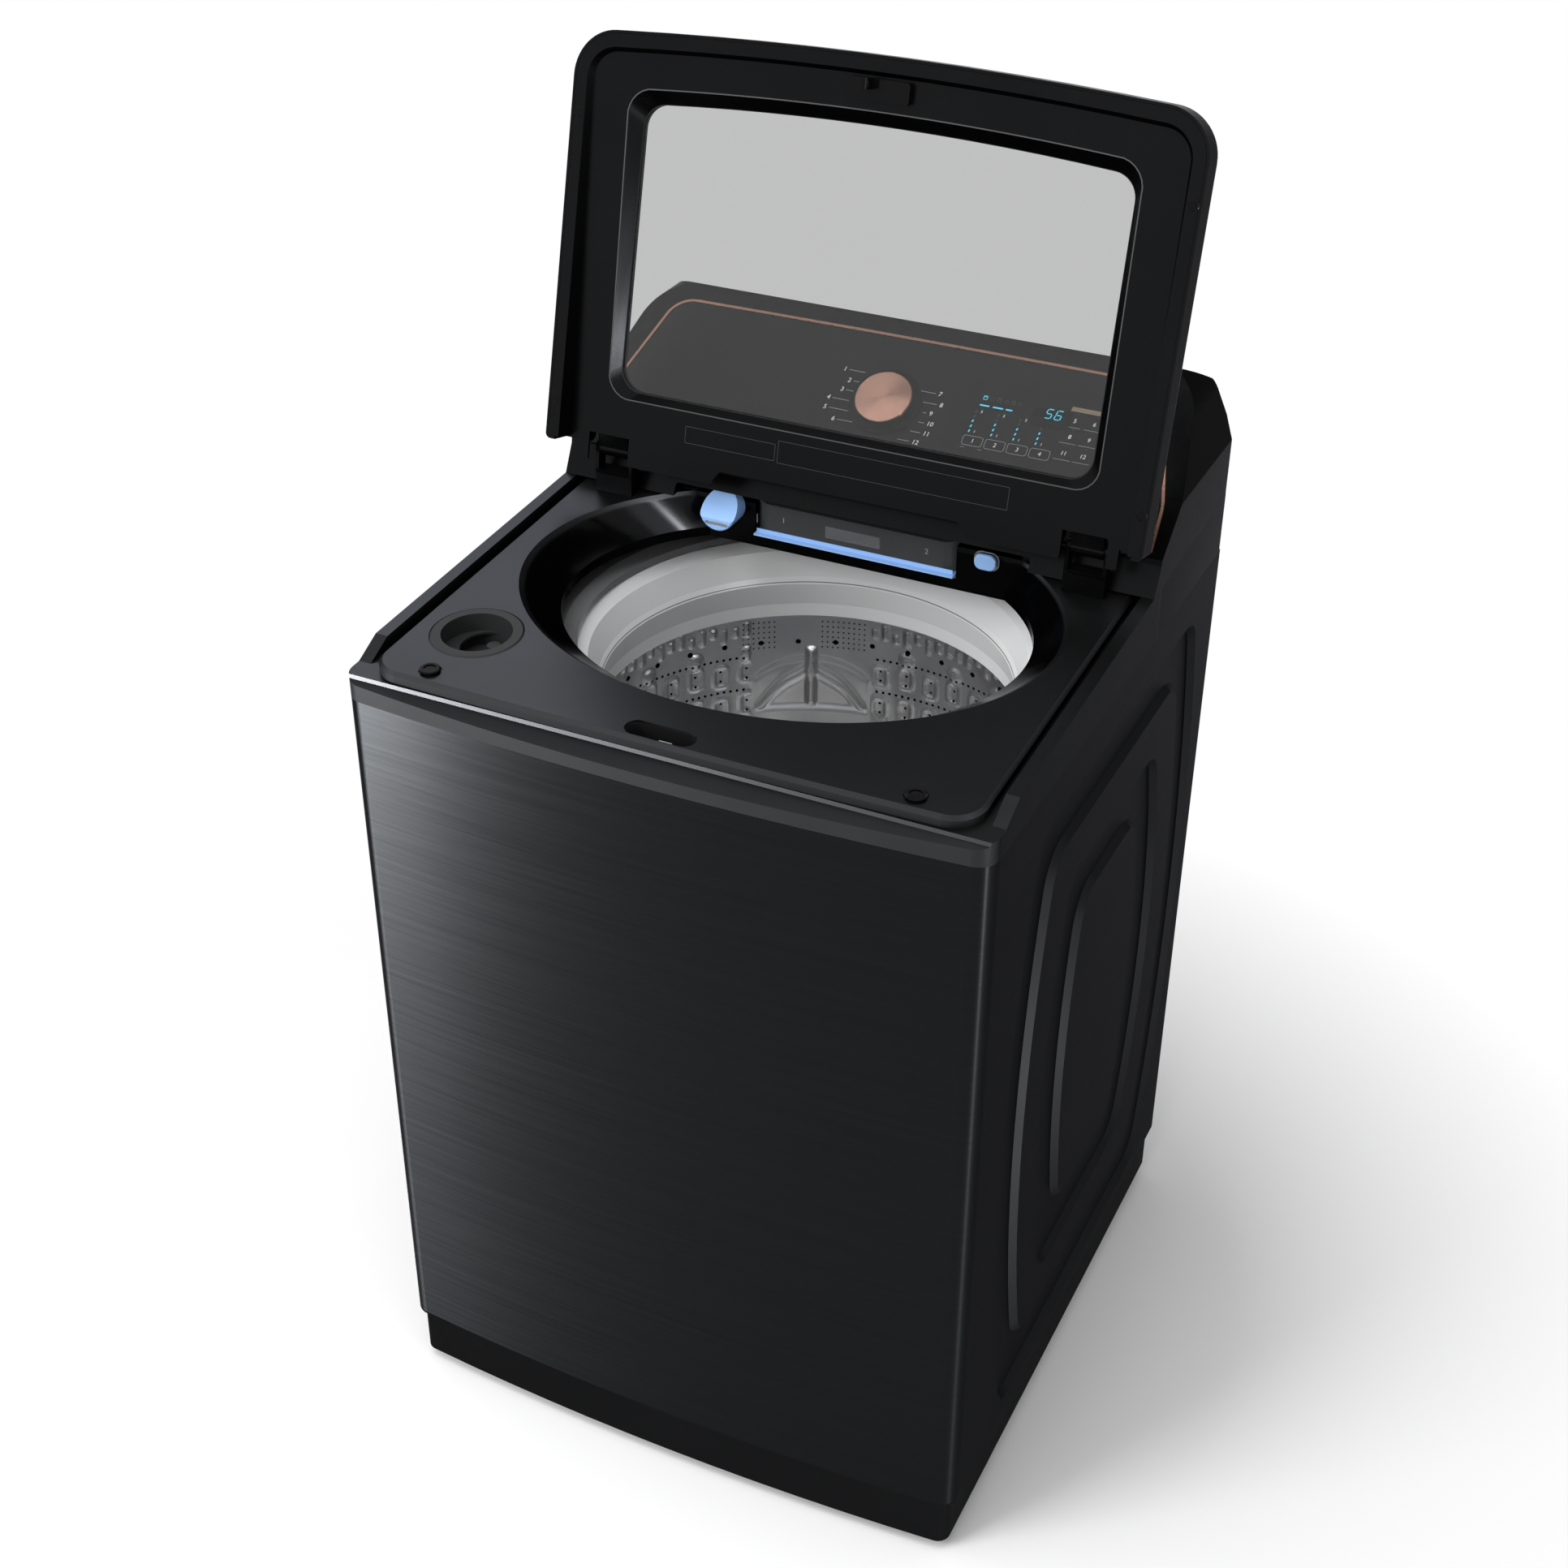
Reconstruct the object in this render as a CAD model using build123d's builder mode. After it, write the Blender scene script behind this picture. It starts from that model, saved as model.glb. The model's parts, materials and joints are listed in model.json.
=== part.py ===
"""Top load washing machine: steel cabinet, moulded deck, hinged glass lid, console, suspended tub and drum.

Millimetres. X to the right, Y to the back, Z up from the floor. The lid stands open, as when loading.
"""
from build123d import *
from math import atan, cos, degrees, hypot, pi, radians, sin, tan
import os

os.makedirs("parts", exist_ok=True)

# ---------------------------------------------------------------- driving dimensions
running_gap = 0.3  # between moving faces and their neighbours
fit_gap = 0.05  # radial fit of shafts and pins
gap = 1.0  # loose gap between panels and housings

# cabinet
cabinet_width = 700.0
side_depth = 712.0  # flat sides, without the bow of the front
front_bow = 16.0
front_corner_radius = 22.0
rear_corner_radius = 7.0
steel_bottom = 85.0
steel_top = 937.0
sheet = 1.2
rear_flange = 24.0
emboss_depth = 7.0
emboss_centre_y = 30.0
# each embossed loop: half length, bottom, top, bow of its ends
emboss_loops = [(246.0, 104.0, 889.0, 52.0), (193.0, 170.0, 832.0, 44.0),
                (139.0, 222.0, 773.0, 44.0), (84.0, 286.0, 716.0, 27.0)]
emboss_corner = 44.0

# base and feet
plinth_inset = 7.0
plinth_wall = 3.0
plinth_bottom = 16.0
plinth_flange = 30.0
foot_x = cabinet_width / 2 - 60.0
foot_y = side_depth / 2 - 60.0
foot_pad_radius = 22.0
foot_pad_height = 12.0
foot_stud_radius = 6.0
foot_stud_top = 78.0
bracket_level = 44.0
bracket_thickness = 5.0
bracket_reach = 92.0
nut_across_flats = 24.0
nut_height = 7.0

# top cover
lip_top = steel_top + 14.0
lip_back_y = 6.0 - side_depth / 2
lip_back_z = steel_top + 21.0
rail_inner_x = cabinet_width / 2 - 14.0
rail_front_y = 64.0 - side_depth / 2
rail_front_z = steel_top + 42.0
deck_slope = 2.7  # degrees, rising to the back
deck_front_y = 7.0 - side_depth / 2
deck_front_z = steel_top + 37.0
deck_half_width = cabinet_width / 2 - 23.0
deck_corner_radius = 34.0
deck_edge = 4.0
groove_depth = 12.0
platform_back_y = side_depth / 2 - 228.0
cover_back_y = side_depth / 2 - 10.0
cover_wall = 3.0
cover_skirt = 12.0
bulkhead_half = 210.0
bulkhead_top = steel_top + 73.0
bowl_half_width = deck_half_width - 30.0
bowl_half_depth = side_depth / 2 - 131.0
bowl_centre_y = -50.0
bowl_back_y = side_depth / 2 - 238.0
neck_half_width = bowl_half_width - 41.0
neck_half_depth = bowl_half_depth - 13.0
neck_centre_y = -34.0
neck_z = steel_top + 18.0
neck_bottom = steel_top + 7.0

# bleach cup, bumpers and lid lock, set in the deck
cup_x = 92.0 - cabinet_width / 2
cup_y = deck_front_y + 103.0
cup_rim_radius = 49.0
cup_bore_radius = 37.0
cup_depth = 39.0
cup_wall = 2.5
bumper_x = cabinet_width / 2 - 88.0
bumper_y = deck_front_y + 22.0
bumper_radius = 10.5
bumper_seat_radius = 6.0
slot_x = 0.0
slot_y = deck_front_y + 18.0
slot_length = 76.0
slot_width = 25.0
lock_height = 30.0
bolt_x = 6.0
bolt_y = -5.0
bolt_width = 5.0
bolt_size = 5.0
bolt_length = 15.0
bolt_drop = 9.0

# detergent drawer and water jet
drawer_half_width = 120.0
drawer_bottom = steel_top + 25.0
drawer_top = drawer_bottom + 36.0
drawer_depth = 160.0
drawer_end = 14.0  # bevelled ends of the drawer front
housing_wall = 2.5
drawer_face_y = bowl_back_y + 9.0  # back of the drawer front
inlet_x = 80.0
inlet_y = platform_back_y + 122.0
lip_height = 5.0
lip_reach = 7.0
nozzle_x = -155.0
nozzle_z = steel_top + 52.0
nozzle_radius = 21.5
nozzle_reach = 30.0
nozzle_slot = (28.0, 5.0)
button_x = 156.0
button_z = steel_top + 50.0
button_width = 25.0
button_height = 18.0
button_stand = 4.0
button_travel = 3.0
button_stem_radius = 4.0
button_stem_length = 15.0
ring_width = 1.6

# console
console_front_y = side_depth / 2 - 247.0
console_foot_y = console_front_y - 16.0
console_shoulder_z = steel_top + 138.0
console_top_half = cabinet_width / 2 - 28.0
console_top_radius = 40.0
console_half_width = cabinet_width / 2
console_back_y = side_depth / 2 - 11.0
console_top_y = console_back_y - 55.0
console_top_z = steel_top + 226.0
console_wall = 3.0
arch_height = 40.0  # arch over the drawer
arch_radius = 4.0
fascia_lean = 53.0  # degrees back from upright
fascia_y = console_front_y + 1.0
fascia_z = steel_top + 97.0
fascia_height = 199.0
fascia_thickness = 3.0
trim_bottom_half = console_half_width - 16.0
trim_shoulder = (console_half_width - 20.0, 60.0)
trim_top_half = console_half_width - 59.0
trim_top_radius = 30.0
trim_width = 3.2
trim_proud = 1.5
display_size = (44.0, 22.0)
display_centre = (183.0, 137.0)
dial_centre = (-3.5, 118.5)
dial_radius = 32.7
dial_height = 12.5
bezel_radius = 41.0
bezel_height = 3.0
dial_stem_radius = 7.0
dial_shaft_radius = 3.0

# lid, open against its stop
lid_open_lean = 14.5  # degrees behind upright
lid_foot_y = console_front_y - 62.0
lid_foot_z = steel_top + 123.0
lid_half_width = cabinet_width / 2 - 4.0
lid_length = 448.0
lid_bow = 13.0
lid_corner_radius = 50.0
lid_thickness = 38.0
lid_edge_radius = 9.0
lid_arch_half = 145.0
lid_arch = 16.0
lid_wall = 3.0
rim_width = 16.0
rim_draft = 4.0
field_front_depth = 6.0  # the inner field leans: shallow at the lid's front, deep at its foot
field_foot_depth = 22.0
foot_reach = 19.0  # the field's foot below the lid's lower edge
foot_half_width = lid_half_width - 31.0
hinge_along = -6.5  # pin axis, measured from the lid's lower inner edge
hinge_behind = 44.0
glass_half_width = lid_half_width - 74.0  # clear glass
glass_bottom = 63.5
glass_top = lid_length - 69.5
window_bow = 12.0
window_radius = 26.0
bevel_side = 11.0  # bevelled frame around the glass
bevel_foot = 8.5
bevel_front = 15.5
glass_depth = 28.0
glass_thickness = 4.0
seal_width = 8.0
seal_thickness = 1.6
striker_width = 70.0
striker_height = 22.0
striker_along = 414.5
hook_x = -7.0
hook_along = 420.0
hook_thickness = 4.0
hook_width = 11.0
hook_reach = 19.0
hinge_x = lid_half_width - 68.0
hinge_cut_width = 50.0
hinge_cut_top = 12.0
anchor_height = 12.0
hinge_pin_radius = 4.0
hinge_pin_length = 46.0
hinge_foot_y = console_front_y - 34.0
hinge_face_y = console_front_y - 32.0
hinge_ledge_z = steel_top + 82.0
slit_drop = 2.5
slit_height = 2.0
slit_depth = 1.2
barrel_radius = 9.0
arm_width = 36.0
arm_front = 29.0  # depths of the arm's plate, behind the lid's inner edge
arm_back = 34.5

# drum and tub, about the machine's upright axis
drum_wall = 1.0
base_sheet = 1.5
drum_floor_z = 330.0
drum_top_z = steel_top - 65.0
ring_bottom_z = steel_top - 122.0
ring_step_z = steel_top - 76.0
ring_top_z = steel_top - 29.0
tub_radius = min(cabinet_width, side_depth) / 2 - 32.0
drum_radius = tub_radius - 30.0
ring_top_radius = drum_radius - 51.0
ring_step_radius = drum_radius - 64.0
ring_lower_radius = drum_radius - 56.0
tub_wall = 3.5
tub_floor_z = 292.0
tub_top_z = steel_top - 53.0
cover_inner_radius = tub_radius - 71.0
cover_top_z = steel_top - 13.0
tub_travel_up = 10.0
shaft_radius = 9.0
spin_tube_radius = 16.0
hub_radius = 70.0
bearing_outer_radius = 31.0
bearing_height = 15.0
stator_radius = 118.0
stator_height = 26.0
stator_top = 226.0
spin_bottom = 214.0
stator_teeth = 18
rotor_radius = 138.0
rotor_wall = 4.0
rotor_bottom = 178.0
pulsator_radius = drum_radius - 88.0
pulsator_vanes = 6
vane_height = 25.0
rod_x = cabinet_width / 2 - 67.0
rod_y = side_depth / 2 - 73.0
rod_radius = 4.0
cup_radius = 23.0
damper_top = 420.0
damper_height = 140.0
rod_engagement = 70.0
gusset_level = steel_top - 41.0
gusset_thickness = 4.0
gusset_reach = 165.0
gusset_clip = 26.0

# water and electrics
valve_x = cabinet_width / 2 - 100.0
valve_z = steel_top + 98.0
thread_radius = 13.2
valve_reach = 27.0
thread_spacing = 62.0
pump_x = 170.0
pump_y = 170.0
pump_radius = 38.0
pump_height = 54.0
pump_spigot = 34.0
impeller_height = 12.0
impeller_pin_radius = 3.0
wall = 3.0
hose_radius = 15.0
hose_wall = 2.5
outlet_x = cabinet_width / 2 - 150.0
outlet_z = steel_top - 75.0
outlet_reach = 36.0
outlet_drop = 26.0
switch_x = 110.0 - cabinet_width / 2
switch_z = steel_top + 108.0
gland_x = 110.0 - cabinet_width / 2
gland_z = steel_top - 75.0
gland_radius = 11.0
rear_panel_bottom = 87.0
bead_rise = 4.0
bead_width = 16.0

# ---------------------------------------------------------------- derived places
half_width = cabinet_width / 2
side_y = side_depth / 2
slope_rise = tan(radians(deck_slope))
deck_plane = Plane(origin=(0, deck_front_y, deck_front_z), x_dir=(1, 0, 0),
                   z_dir=(0, -sin(radians(deck_slope)), cos(radians(deck_slope))))
fascia_plane = Plane(origin=(0, fascia_y, fascia_z), x_dir=(1, 0, 0),
                     z_dir=(0, -cos(radians(fascia_lean)), sin(radians(fascia_lean))))
lid_plane = Plane(origin=(0, lid_foot_y, lid_foot_z), x_dir=(1, 0, 0),
                  z_dir=(0, -cos(radians(lid_open_lean)), sin(radians(lid_open_lean))))
pin_point = lid_plane.from_local_coords((0, hinge_along, -hinge_behind))
axis_y, axis_z = pin_point.Y, pin_point.Z
pump_mouth = Plane(origin=(pump_x, pump_y + pump_radius + 30, tub_floor_z - 32), x_dir=(1, 0, 0), z_dir=(0, 1, 0))


def deck_z(y):
    """Height of the deck's sloping surface at y."""
    return deck_front_z + (y - deck_front_y) * slope_rise


def finish(part, name):
    """Label a finished piece and write its STEP file."""
    part.label = name
    export_step(part, f"parts/{name}.step")


def cabinet_plan(height, inset=0.0):
    """Plan of the cabinet: bowed front, rounded front corners, square back."""
    with BuildSketch(Plane.XY.offset(height)) as plan:
        with BuildLine():
            back = Line((half_width, side_y), (-half_width, side_y))
            left = Line(back @ 1, (-half_width, -side_y))
            front = ThreePointArc(left @ 1, (0, -side_y - front_bow), (half_width, -side_y))
            Line(front @ 1, back @ 0)
        make_face()
        fillet(plan.vertices().group_by(Axis.Y)[0], front_corner_radius)
        fillet(plan.vertices().group_by(Axis.Y)[-1], rear_corner_radius)
        if inset:
            offset(amount=-inset, mode=Mode.REPLACE)
    return plan.sketch


def bowed_loop(plane, loop, shrink=0.0):
    """Rounded loop with bowed ends, as pressed into the side panels."""
    half_length, bottom, top, bow = loop
    low, high = bottom + shrink, top - shrink
    near, far = emboss_centre_y - half_length + shrink, emboss_centre_y + half_length - shrink
    middle = (low + high) / 2
    with BuildSketch(plane) as sketch:
        with BuildLine():
            floor = Line((near, low), (far, low))
            ThreePointArc(floor @ 1, (far + bow, middle), (far, high))
            roof = Line((far, high), (near, high))
            ThreePointArc(roof @ 1, (near - bow, middle), floor @ 0)
        make_face()
        fillet(sketch.vertices(), emboss_corner - shrink)
    return sketch.sketch


def emboss_channel(side, outer, inner, shift=0.0):
    """One sunk ring channel in a side panel, between an outer and an inner loop."""
    face = side * (half_width - shift)
    proud = side * (half_width + gap)
    floor = side * (half_width - shift - emboss_depth)
    draft = emboss_depth
    with BuildPart() as channel:
        loft([bowed_loop(Plane.YZ.offset(face), outer), bowed_loop(Plane.YZ.offset(floor), outer, draft)])
        if not shift:
            loft([bowed_loop(Plane.YZ.offset(proud), outer, -gap), bowed_loop(Plane.YZ.offset(face), outer)])
    with BuildPart() as core:
        loft([bowed_loop(Plane.YZ.offset(proud if not shift else face), inner, gap if not shift else 0.0),
              bowed_loop(Plane.YZ.offset(floor), inner, -draft)])
    return channel.part - core.part


def side_channels(shift=0.0):
    """Both ring channels of both side panels; shift moves them in by the sheet thickness."""
    return [emboss_channel(side, emboss_loops[i], emboss_loops[i + 1], shift)
            for side in (-1, 1) for i in (0, 2)]


# ---------------------------------------------------------------- cabinet
with BuildPart() as hollow:
    extrude(cabinet_plan(steel_bottom, sheet), amount=steel_top - steel_bottom)
    add(side_channels(sheet), mode=Mode.SUBTRACT)

with BuildPart() as cabinet_wrap:
    extrude(cabinet_plan(steel_bottom), amount=steel_top - steel_bottom)
    add(side_channels(), mode=Mode.SUBTRACT)
    add(hollow.part, mode=Mode.SUBTRACT)
    with BuildSketch(Plane.XZ.offset(-side_y + 2 * sheet)) as back_opening:
        with Locations((0, (steel_bottom + steel_top) / 2)):
            Rectangle(cabinet_width - 2 * rear_flange, steel_top - steel_bottom)
    extrude(amount=-4 * sheet, mode=Mode.SUBTRACT)
finish(cabinet_wrap.part, "cabinet_wrap")

# ---------------------------------------------------------------- top cover
def side_profile(points, half, first=0.0):
    """Solid of a closed YZ outline, from first to half in X, on both sides when first is above zero."""
    with BuildPart() as block:
        with BuildSketch(Plane.YZ.offset(first)):
            with BuildLine():
                Polyline(*points, close=True)
            make_face()
        extrude(amount=half - first, both=not first)
        if first:
            mirror(about=Plane.YZ)
    return block.part


def deck_outline(half, front, radius, back=platform_back_y):
    """Deck outline in the sloping deck plane: rounded front corners and a gently bowed front edge."""
    with BuildSketch(deck_plane) as sketch:
        with BuildLine():
            rear = Line((half, back - deck_front_y), (-half, back - deck_front_y))
            left = Line(rear @ 1, (-half, front + deck_edge))
            bow = ThreePointArc(left @ 1, (0, front), (half, front + deck_edge))
            Line(bow @ 1, rear @ 0)
        make_face()
        fillet(sketch.vertices().group_by(Axis.Y)[0], radius)
    return sketch.sketch


def bowl_cut(low, top=8.0, grow=0.0):
    """Space of the wash opening: flared bowl down to an oval neck, flat at the back."""
    half, depth = bowl_half_width + grow, bowl_half_depth + grow
    with BuildPart() as bowl:
        with BuildSketch(deck_plane) as mouth:
            with Locations((0, bowl_centre_y - deck_front_y)):
                Ellipse(half, depth)
        with BuildSketch(Plane.XY.offset(neck_z)) as neck:
            with Locations((0, neck_centre_y)):
                Ellipse(neck_half_width + grow, neck_half_depth + grow)
        loft([neck.sketch, mouth.sketch])
        extrude(neck.sketch, amount=low - neck_z)
        extrude(mouth.sketch, amount=top)
        with BuildSketch(Plane.XZ.offset(-bowl_back_y - grow)):
            with Locations((0, steel_top)):
                Rectangle(cabinet_width, cabinet_width)
        extrude(amount=cabinet_width, mode=Mode.INTERSECT)
    return bowl.part


ground = steel_top - cover_skirt
front_y = -side_y - front_bow - gap
back_z = deck_z(cover_back_y)
groove_z = deck_z(deck_front_y) - groove_depth
rise_back = (cover_back_y - deck_front_y) * slope_rise

back_seat_z = rail_front_z + (cover_back_y - 2 * cover_wall - rail_front_y) * slope_rise
slab_line = [(front_y, steel_top), (front_y, lip_top), (lip_back_y, lip_back_z), (deck_front_y, groove_z),
             (cover_back_y, groove_z + rise_back), (cover_back_y, steel_top)]
rail_line = [(lip_back_y, steel_top), (lip_back_y, lip_back_z), (-335, lip_back_z), (rail_front_y, rail_front_z),
             (cover_back_y, rail_front_z + (cover_back_y - rail_front_y) * slope_rise), (cover_back_y, steel_top)]
under_line = [(front_y, steel_top - gap), (front_y, lip_top - cover_wall),
              (lip_back_y, lip_back_z - 2 * cover_wall), (deck_front_y, groove_z - cover_wall),
              (cover_back_y, groove_z + rise_back - cover_wall), (cover_back_y, steel_top - gap)]


def slab(plane, half_x, near, far, thickness):
    """Flat rectangular block: from near to far in the plane's second direction, thick along its normal."""
    with BuildPart() as block:
        with BuildSketch(plane):
            with Locations((0, (near + far) / 2)):
                Rectangle(2 * half_x, far - near)
        extrude(amount=thickness)
    return block.part


with BuildPart() as under_deck:
    extrude(deck_outline(deck_half_width - cover_wall, cover_wall, deck_corner_radius - cover_wall,
                         bowl_back_y + cover_wall), amount=-60)
    add(slab(deck_plane.offset(-cover_wall), half_width, -side_y, 2 * side_y, 2 * cover_wall), mode=Mode.SUBTRACT)

with BuildPart() as under_cover:
    extrude(cabinet_plan(steel_top - gap, cover_wall), amount=80)
    add(side_profile(under_line, half_width), mode=Mode.INTERSECT)
    add(under_deck.part)
    add(bowl_cut(neck_bottom, grow=cover_wall), mode=Mode.SUBTRACT)
    add(slab(Plane.XY.offset(steel_top - gap), half_width, -side_y - front_bow, side_y, -60), mode=Mode.SUBTRACT)


rear_line = [(cover_back_y - 2 * cover_wall, steel_top), (cover_back_y - 2 * cover_wall, back_seat_z),
             (cover_back_y, back_seat_z), (cover_back_y, steel_top)]

with BuildPart() as rails:
    extrude(cabinet_plan(steel_top), amount=90)
    add(side_profile(rail_line, half_width, rail_inner_x), mode=Mode.INTERSECT)
    add(side_profile(rear_line, rail_inner_x))

with BuildPart() as top_cover:
    extrude(cabinet_plan(steel_top), amount=90)
    add(side_profile(slab_line, half_width), mode=Mode.INTERSECT)
    add(rails.part)
    # raised deck with a softened edge
    extrude(deck_outline(deck_half_width, 0, deck_corner_radius), amount=-groove_depth - cover_wall)
    deck_edges = top_cover.edges().filter_by(lambda e: abs(deck_plane.to_local_coords(e.center()).Z) < 0.01)
    chamfer(deck_edges.filter_by(lambda e: e.center().Y < bowl_back_y - 60), deck_edge)
    # bulkhead behind the bowl, under the console
    with BuildSketch(Plane.XY.offset(neck_bottom)):
        with Locations((0, (bowl_back_y + platform_back_y) / 2)):
            Rectangle(2 * bulkhead_half, platform_back_y - bowl_back_y)
    extrude(amount=bulkhead_top - neck_bottom)
    add(under_cover.part, mode=Mode.SUBTRACT)
    add(bowl_cut(steel_top - 2 * cover_skirt, top=60), mode=Mode.SUBTRACT)
    # skirt that locates the cover inside the steel
    extrude(cabinet_plan(steel_top - cover_skirt, sheet + gap), amount=cover_skirt)
    extrude(cabinet_plan(steel_top - cover_skirt, sheet + gap + cover_wall), amount=cover_skirt,
            mode=Mode.SUBTRACT)
    # openings for the drawer housing, the bleach cup, the bumpers and the lock
    with BuildSketch(Plane.XZ.offset(-platform_back_y)):
        with Locations((0, (drawer_bottom - lip_height + drawer_top) / 2)):
            Rectangle(2 * (drawer_half_width + gap), drawer_top - drawer_bottom + lip_height + 2 * gap)
    extrude(amount=2 * (platform_back_y - bowl_back_y), mode=Mode.SUBTRACT)
    with BuildSketch(Plane.XY.offset(steel_top)):
        with Locations((0, platform_back_y + drawer_depth / 2)):
            Rectangle(2 * (drawer_half_width + 3 + gap), drawer_depth + 2 * gap)
    extrude(amount=bulkhead_top - steel_top, mode=Mode.SUBTRACT)
    with Locations(deck_plane * Location((cup_x, cup_y - deck_front_y, 0))):
        CounterBoreHole(cup_rim_radius - 7, cup_rim_radius, 2.5, depth=20)
    with Locations([deck_plane * Location((x, bumper_y - deck_front_y, 0)) for x in (-bumper_x, bumper_x)]):
        CounterBoreHole(bumper_seat_radius, bumper_radius + 1.5, 1.5, depth=20)
    with BuildSketch(deck_plane):
        with Locations((slot_x, slot_y - deck_front_y)):
            SlotOverall(slot_length, slot_width)
    extrude(amount=-2 * groove_depth, mode=Mode.SUBTRACT)
    with BuildSketch(Plane.XZ.offset(-bowl_back_y)):
        with Locations((button_x, button_z)):
            Circle(button_stem_radius + fit_gap)
    extrude(amount=-button_stem_length, mode=Mode.SUBTRACT)
finish(top_cover.part, "top_cover")

# ---------------------------------------------------------------- fittings of the deck
def on_deck(x, y, rise=0.0):
    """Plane on the sloping deck at a point given in plan."""
    return Plane(deck_plane * Location((x, y - deck_front_y, rise)))


with BuildPart() as bleach_cup:
    seat = on_deck(cup_x, cup_y)
    with BuildSketch(seat.offset(-2.5)):
        Circle(cup_rim_radius - fit_gap)
    extrude(amount=3.5)
    chamfer(bleach_cup.edges().group_by(Axis.Z)[-1], 2.2)
    with BuildSketch(seat.offset(-2.5)):
        Circle(cup_bore_radius + cup_wall)
    extrude(amount=-cup_depth + 2.5)
    with BuildSketch(seat.offset(-cup_depth + cup_wall)):
        Circle(cup_bore_radius)
    extrude(amount=cup_depth + gap, mode=Mode.SUBTRACT)
    # ledge and siphon post inside the well
    with BuildSketch(seat.offset(-cup_depth / 2)):
        Circle(cup_bore_radius)
        with Locations((6, 8)):
            Circle(cup_bore_radius - 8, mode=Mode.SUBTRACT)
    extrude(amount=-cup_wall)
    with BuildSketch(seat.offset(-cup_depth + cup_wall)):
        with Locations((12, 10)):
            Circle(7)
    extrude(amount=cup_depth / 2)
    # spout towards the tub
    with BuildSketch(seat.offset(-cup_depth)):
        with Locations((22, 22)):
            Circle(7)
    extrude(amount=-4)
finish(bleach_cup.part, "bleach_cup")

bumper_rise = 3.7
with BuildPart() as deck_bumpers:
    for x in (-bumper_x, bumper_x):
        seat = on_deck(x, bumper_y)
        with BuildSketch(seat.offset(-1.5)):
            Circle(bumper_radius)
        extrude(amount=1.5 + bumper_rise)
        with BuildSketch(seat.offset(-8)):
            Circle(bumper_seat_radius - fit_gap)
        extrude(amount=7)
        with BuildSketch(seat.offset(bumper_rise)):
            Circle(bumper_radius - 4)
        extrude(amount=-1.2, mode=Mode.SUBTRACT)
    chamfer(deck_bumpers.edges().filter_by(GeomType.CIRCLE).group_by(SortBy.RADIUS)[-1].filter_by(
        lambda e: abs(deck_plane.to_local_coords(e.center()).Z - bumper_rise) < 0.1), 1)
finish(deck_bumpers.part, "deck_bumpers")

lock_plane = on_deck(slot_x, slot_y, -cover_wall)
with BuildPart() as lid_lock_housing:
    with BuildSketch(lock_plane):
        with Locations((0, 3)):
            RectangleRounded(slot_length + 16, slot_width + 9, 4)
    extrude(amount=-lock_height)
    with BuildSketch(lock_plane):
        SlotOverall(slot_length - 2, slot_width - 2)
    extrude(amount=-lock_height + cover_wall, mode=Mode.SUBTRACT)
    # shelf that the bolt slides on
    with BuildSketch(lock_plane.offset(-bolt_drop)):
        with Locations((bolt_x + 3, bolt_y)):
            Rectangle(bolt_length + 12, 12)
    extrude(amount=bolt_drop - lock_height + gap)
finish(lid_lock_housing.part, "lid_lock_housing")

with BuildPart() as lock_bolt:
    with BuildSketch(lock_plane.offset(-bolt_drop + running_gap)):
        with Locations((bolt_x, bolt_y)):
            Rectangle(bolt_length, bolt_width)
    extrude(amount=bolt_size)
    chamfer(lock_bolt.edges().group_by(Axis.X)[0].filter_by(GeomType.LINE).group_by(Axis.Z)[-1], 1)
finish(lock_bolt.part, "lock_bolt")

# ---------------------------------------------------------------- water jet and button in the bowl's rear wall
wall_plane = Plane.XZ.offset(-bowl_back_y)  # faces the user
with BuildPart() as water_jet_nozzle:
    with BuildSketch(wall_plane):
        with Locations((nozzle_x, nozzle_z)):
            Circle(nozzle_radius)
    extrude(amount=nozzle_reach)
    with BuildSketch(Plane.YZ.offset(nozzle_x)):
        with BuildLine():
            Polyline((bowl_back_y + gap, nozzle_z + nozzle_radius + gap),
                     (bowl_back_y - 4, nozzle_z + nozzle_radius + gap),
                     (bowl_back_y - nozzle_reach - gap, nozzle_z - 8),
                     (bowl_back_y - nozzle_reach - gap, nozzle_z + 2 * nozzle_radius),
                     (bowl_back_y + gap, nozzle_z + 2 * nozzle_radius), close=True)
        make_face()
    extrude(amount=nozzle_radius + gap, both=True, mode=Mode.SUBTRACT)
    fillet(water_jet_nozzle.edges().group_by(Axis.Y)[0], 2.5)
    with BuildSketch(wall_plane.offset(nozzle_reach)):
        with Locations((nozzle_x, nozzle_z - 13)):
            SlotOverall(*nozzle_slot)
    extrude(amount=-6, mode=Mode.SUBTRACT)
finish(water_jet_nozzle.part, "water_jet_nozzle")

with BuildPart() as nozzle_insert:
    with BuildSketch(wall_plane.offset(nozzle_reach - 6)):
        with Locations((nozzle_x, nozzle_z - 13)):
            SlotOverall(nozzle_slot[0] - 2 * fit_gap, nozzle_slot[1] - 2 * fit_gap)
            SlotOverall(nozzle_slot[0] - 4, nozzle_slot[1] - 2.4, mode=Mode.SUBTRACT)
    extrude(amount=4)
    with BuildSketch(wall_plane.offset(nozzle_reach - 6)):
        with Locations((nozzle_x, nozzle_z - 13)):
            SlotOverall(nozzle_slot[0] - 2 * fit_gap, nozzle_slot[1] - 2 * fit_gap)
    extrude(amount=1.5)
finish(nozzle_insert.part, "nozzle_insert")

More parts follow.
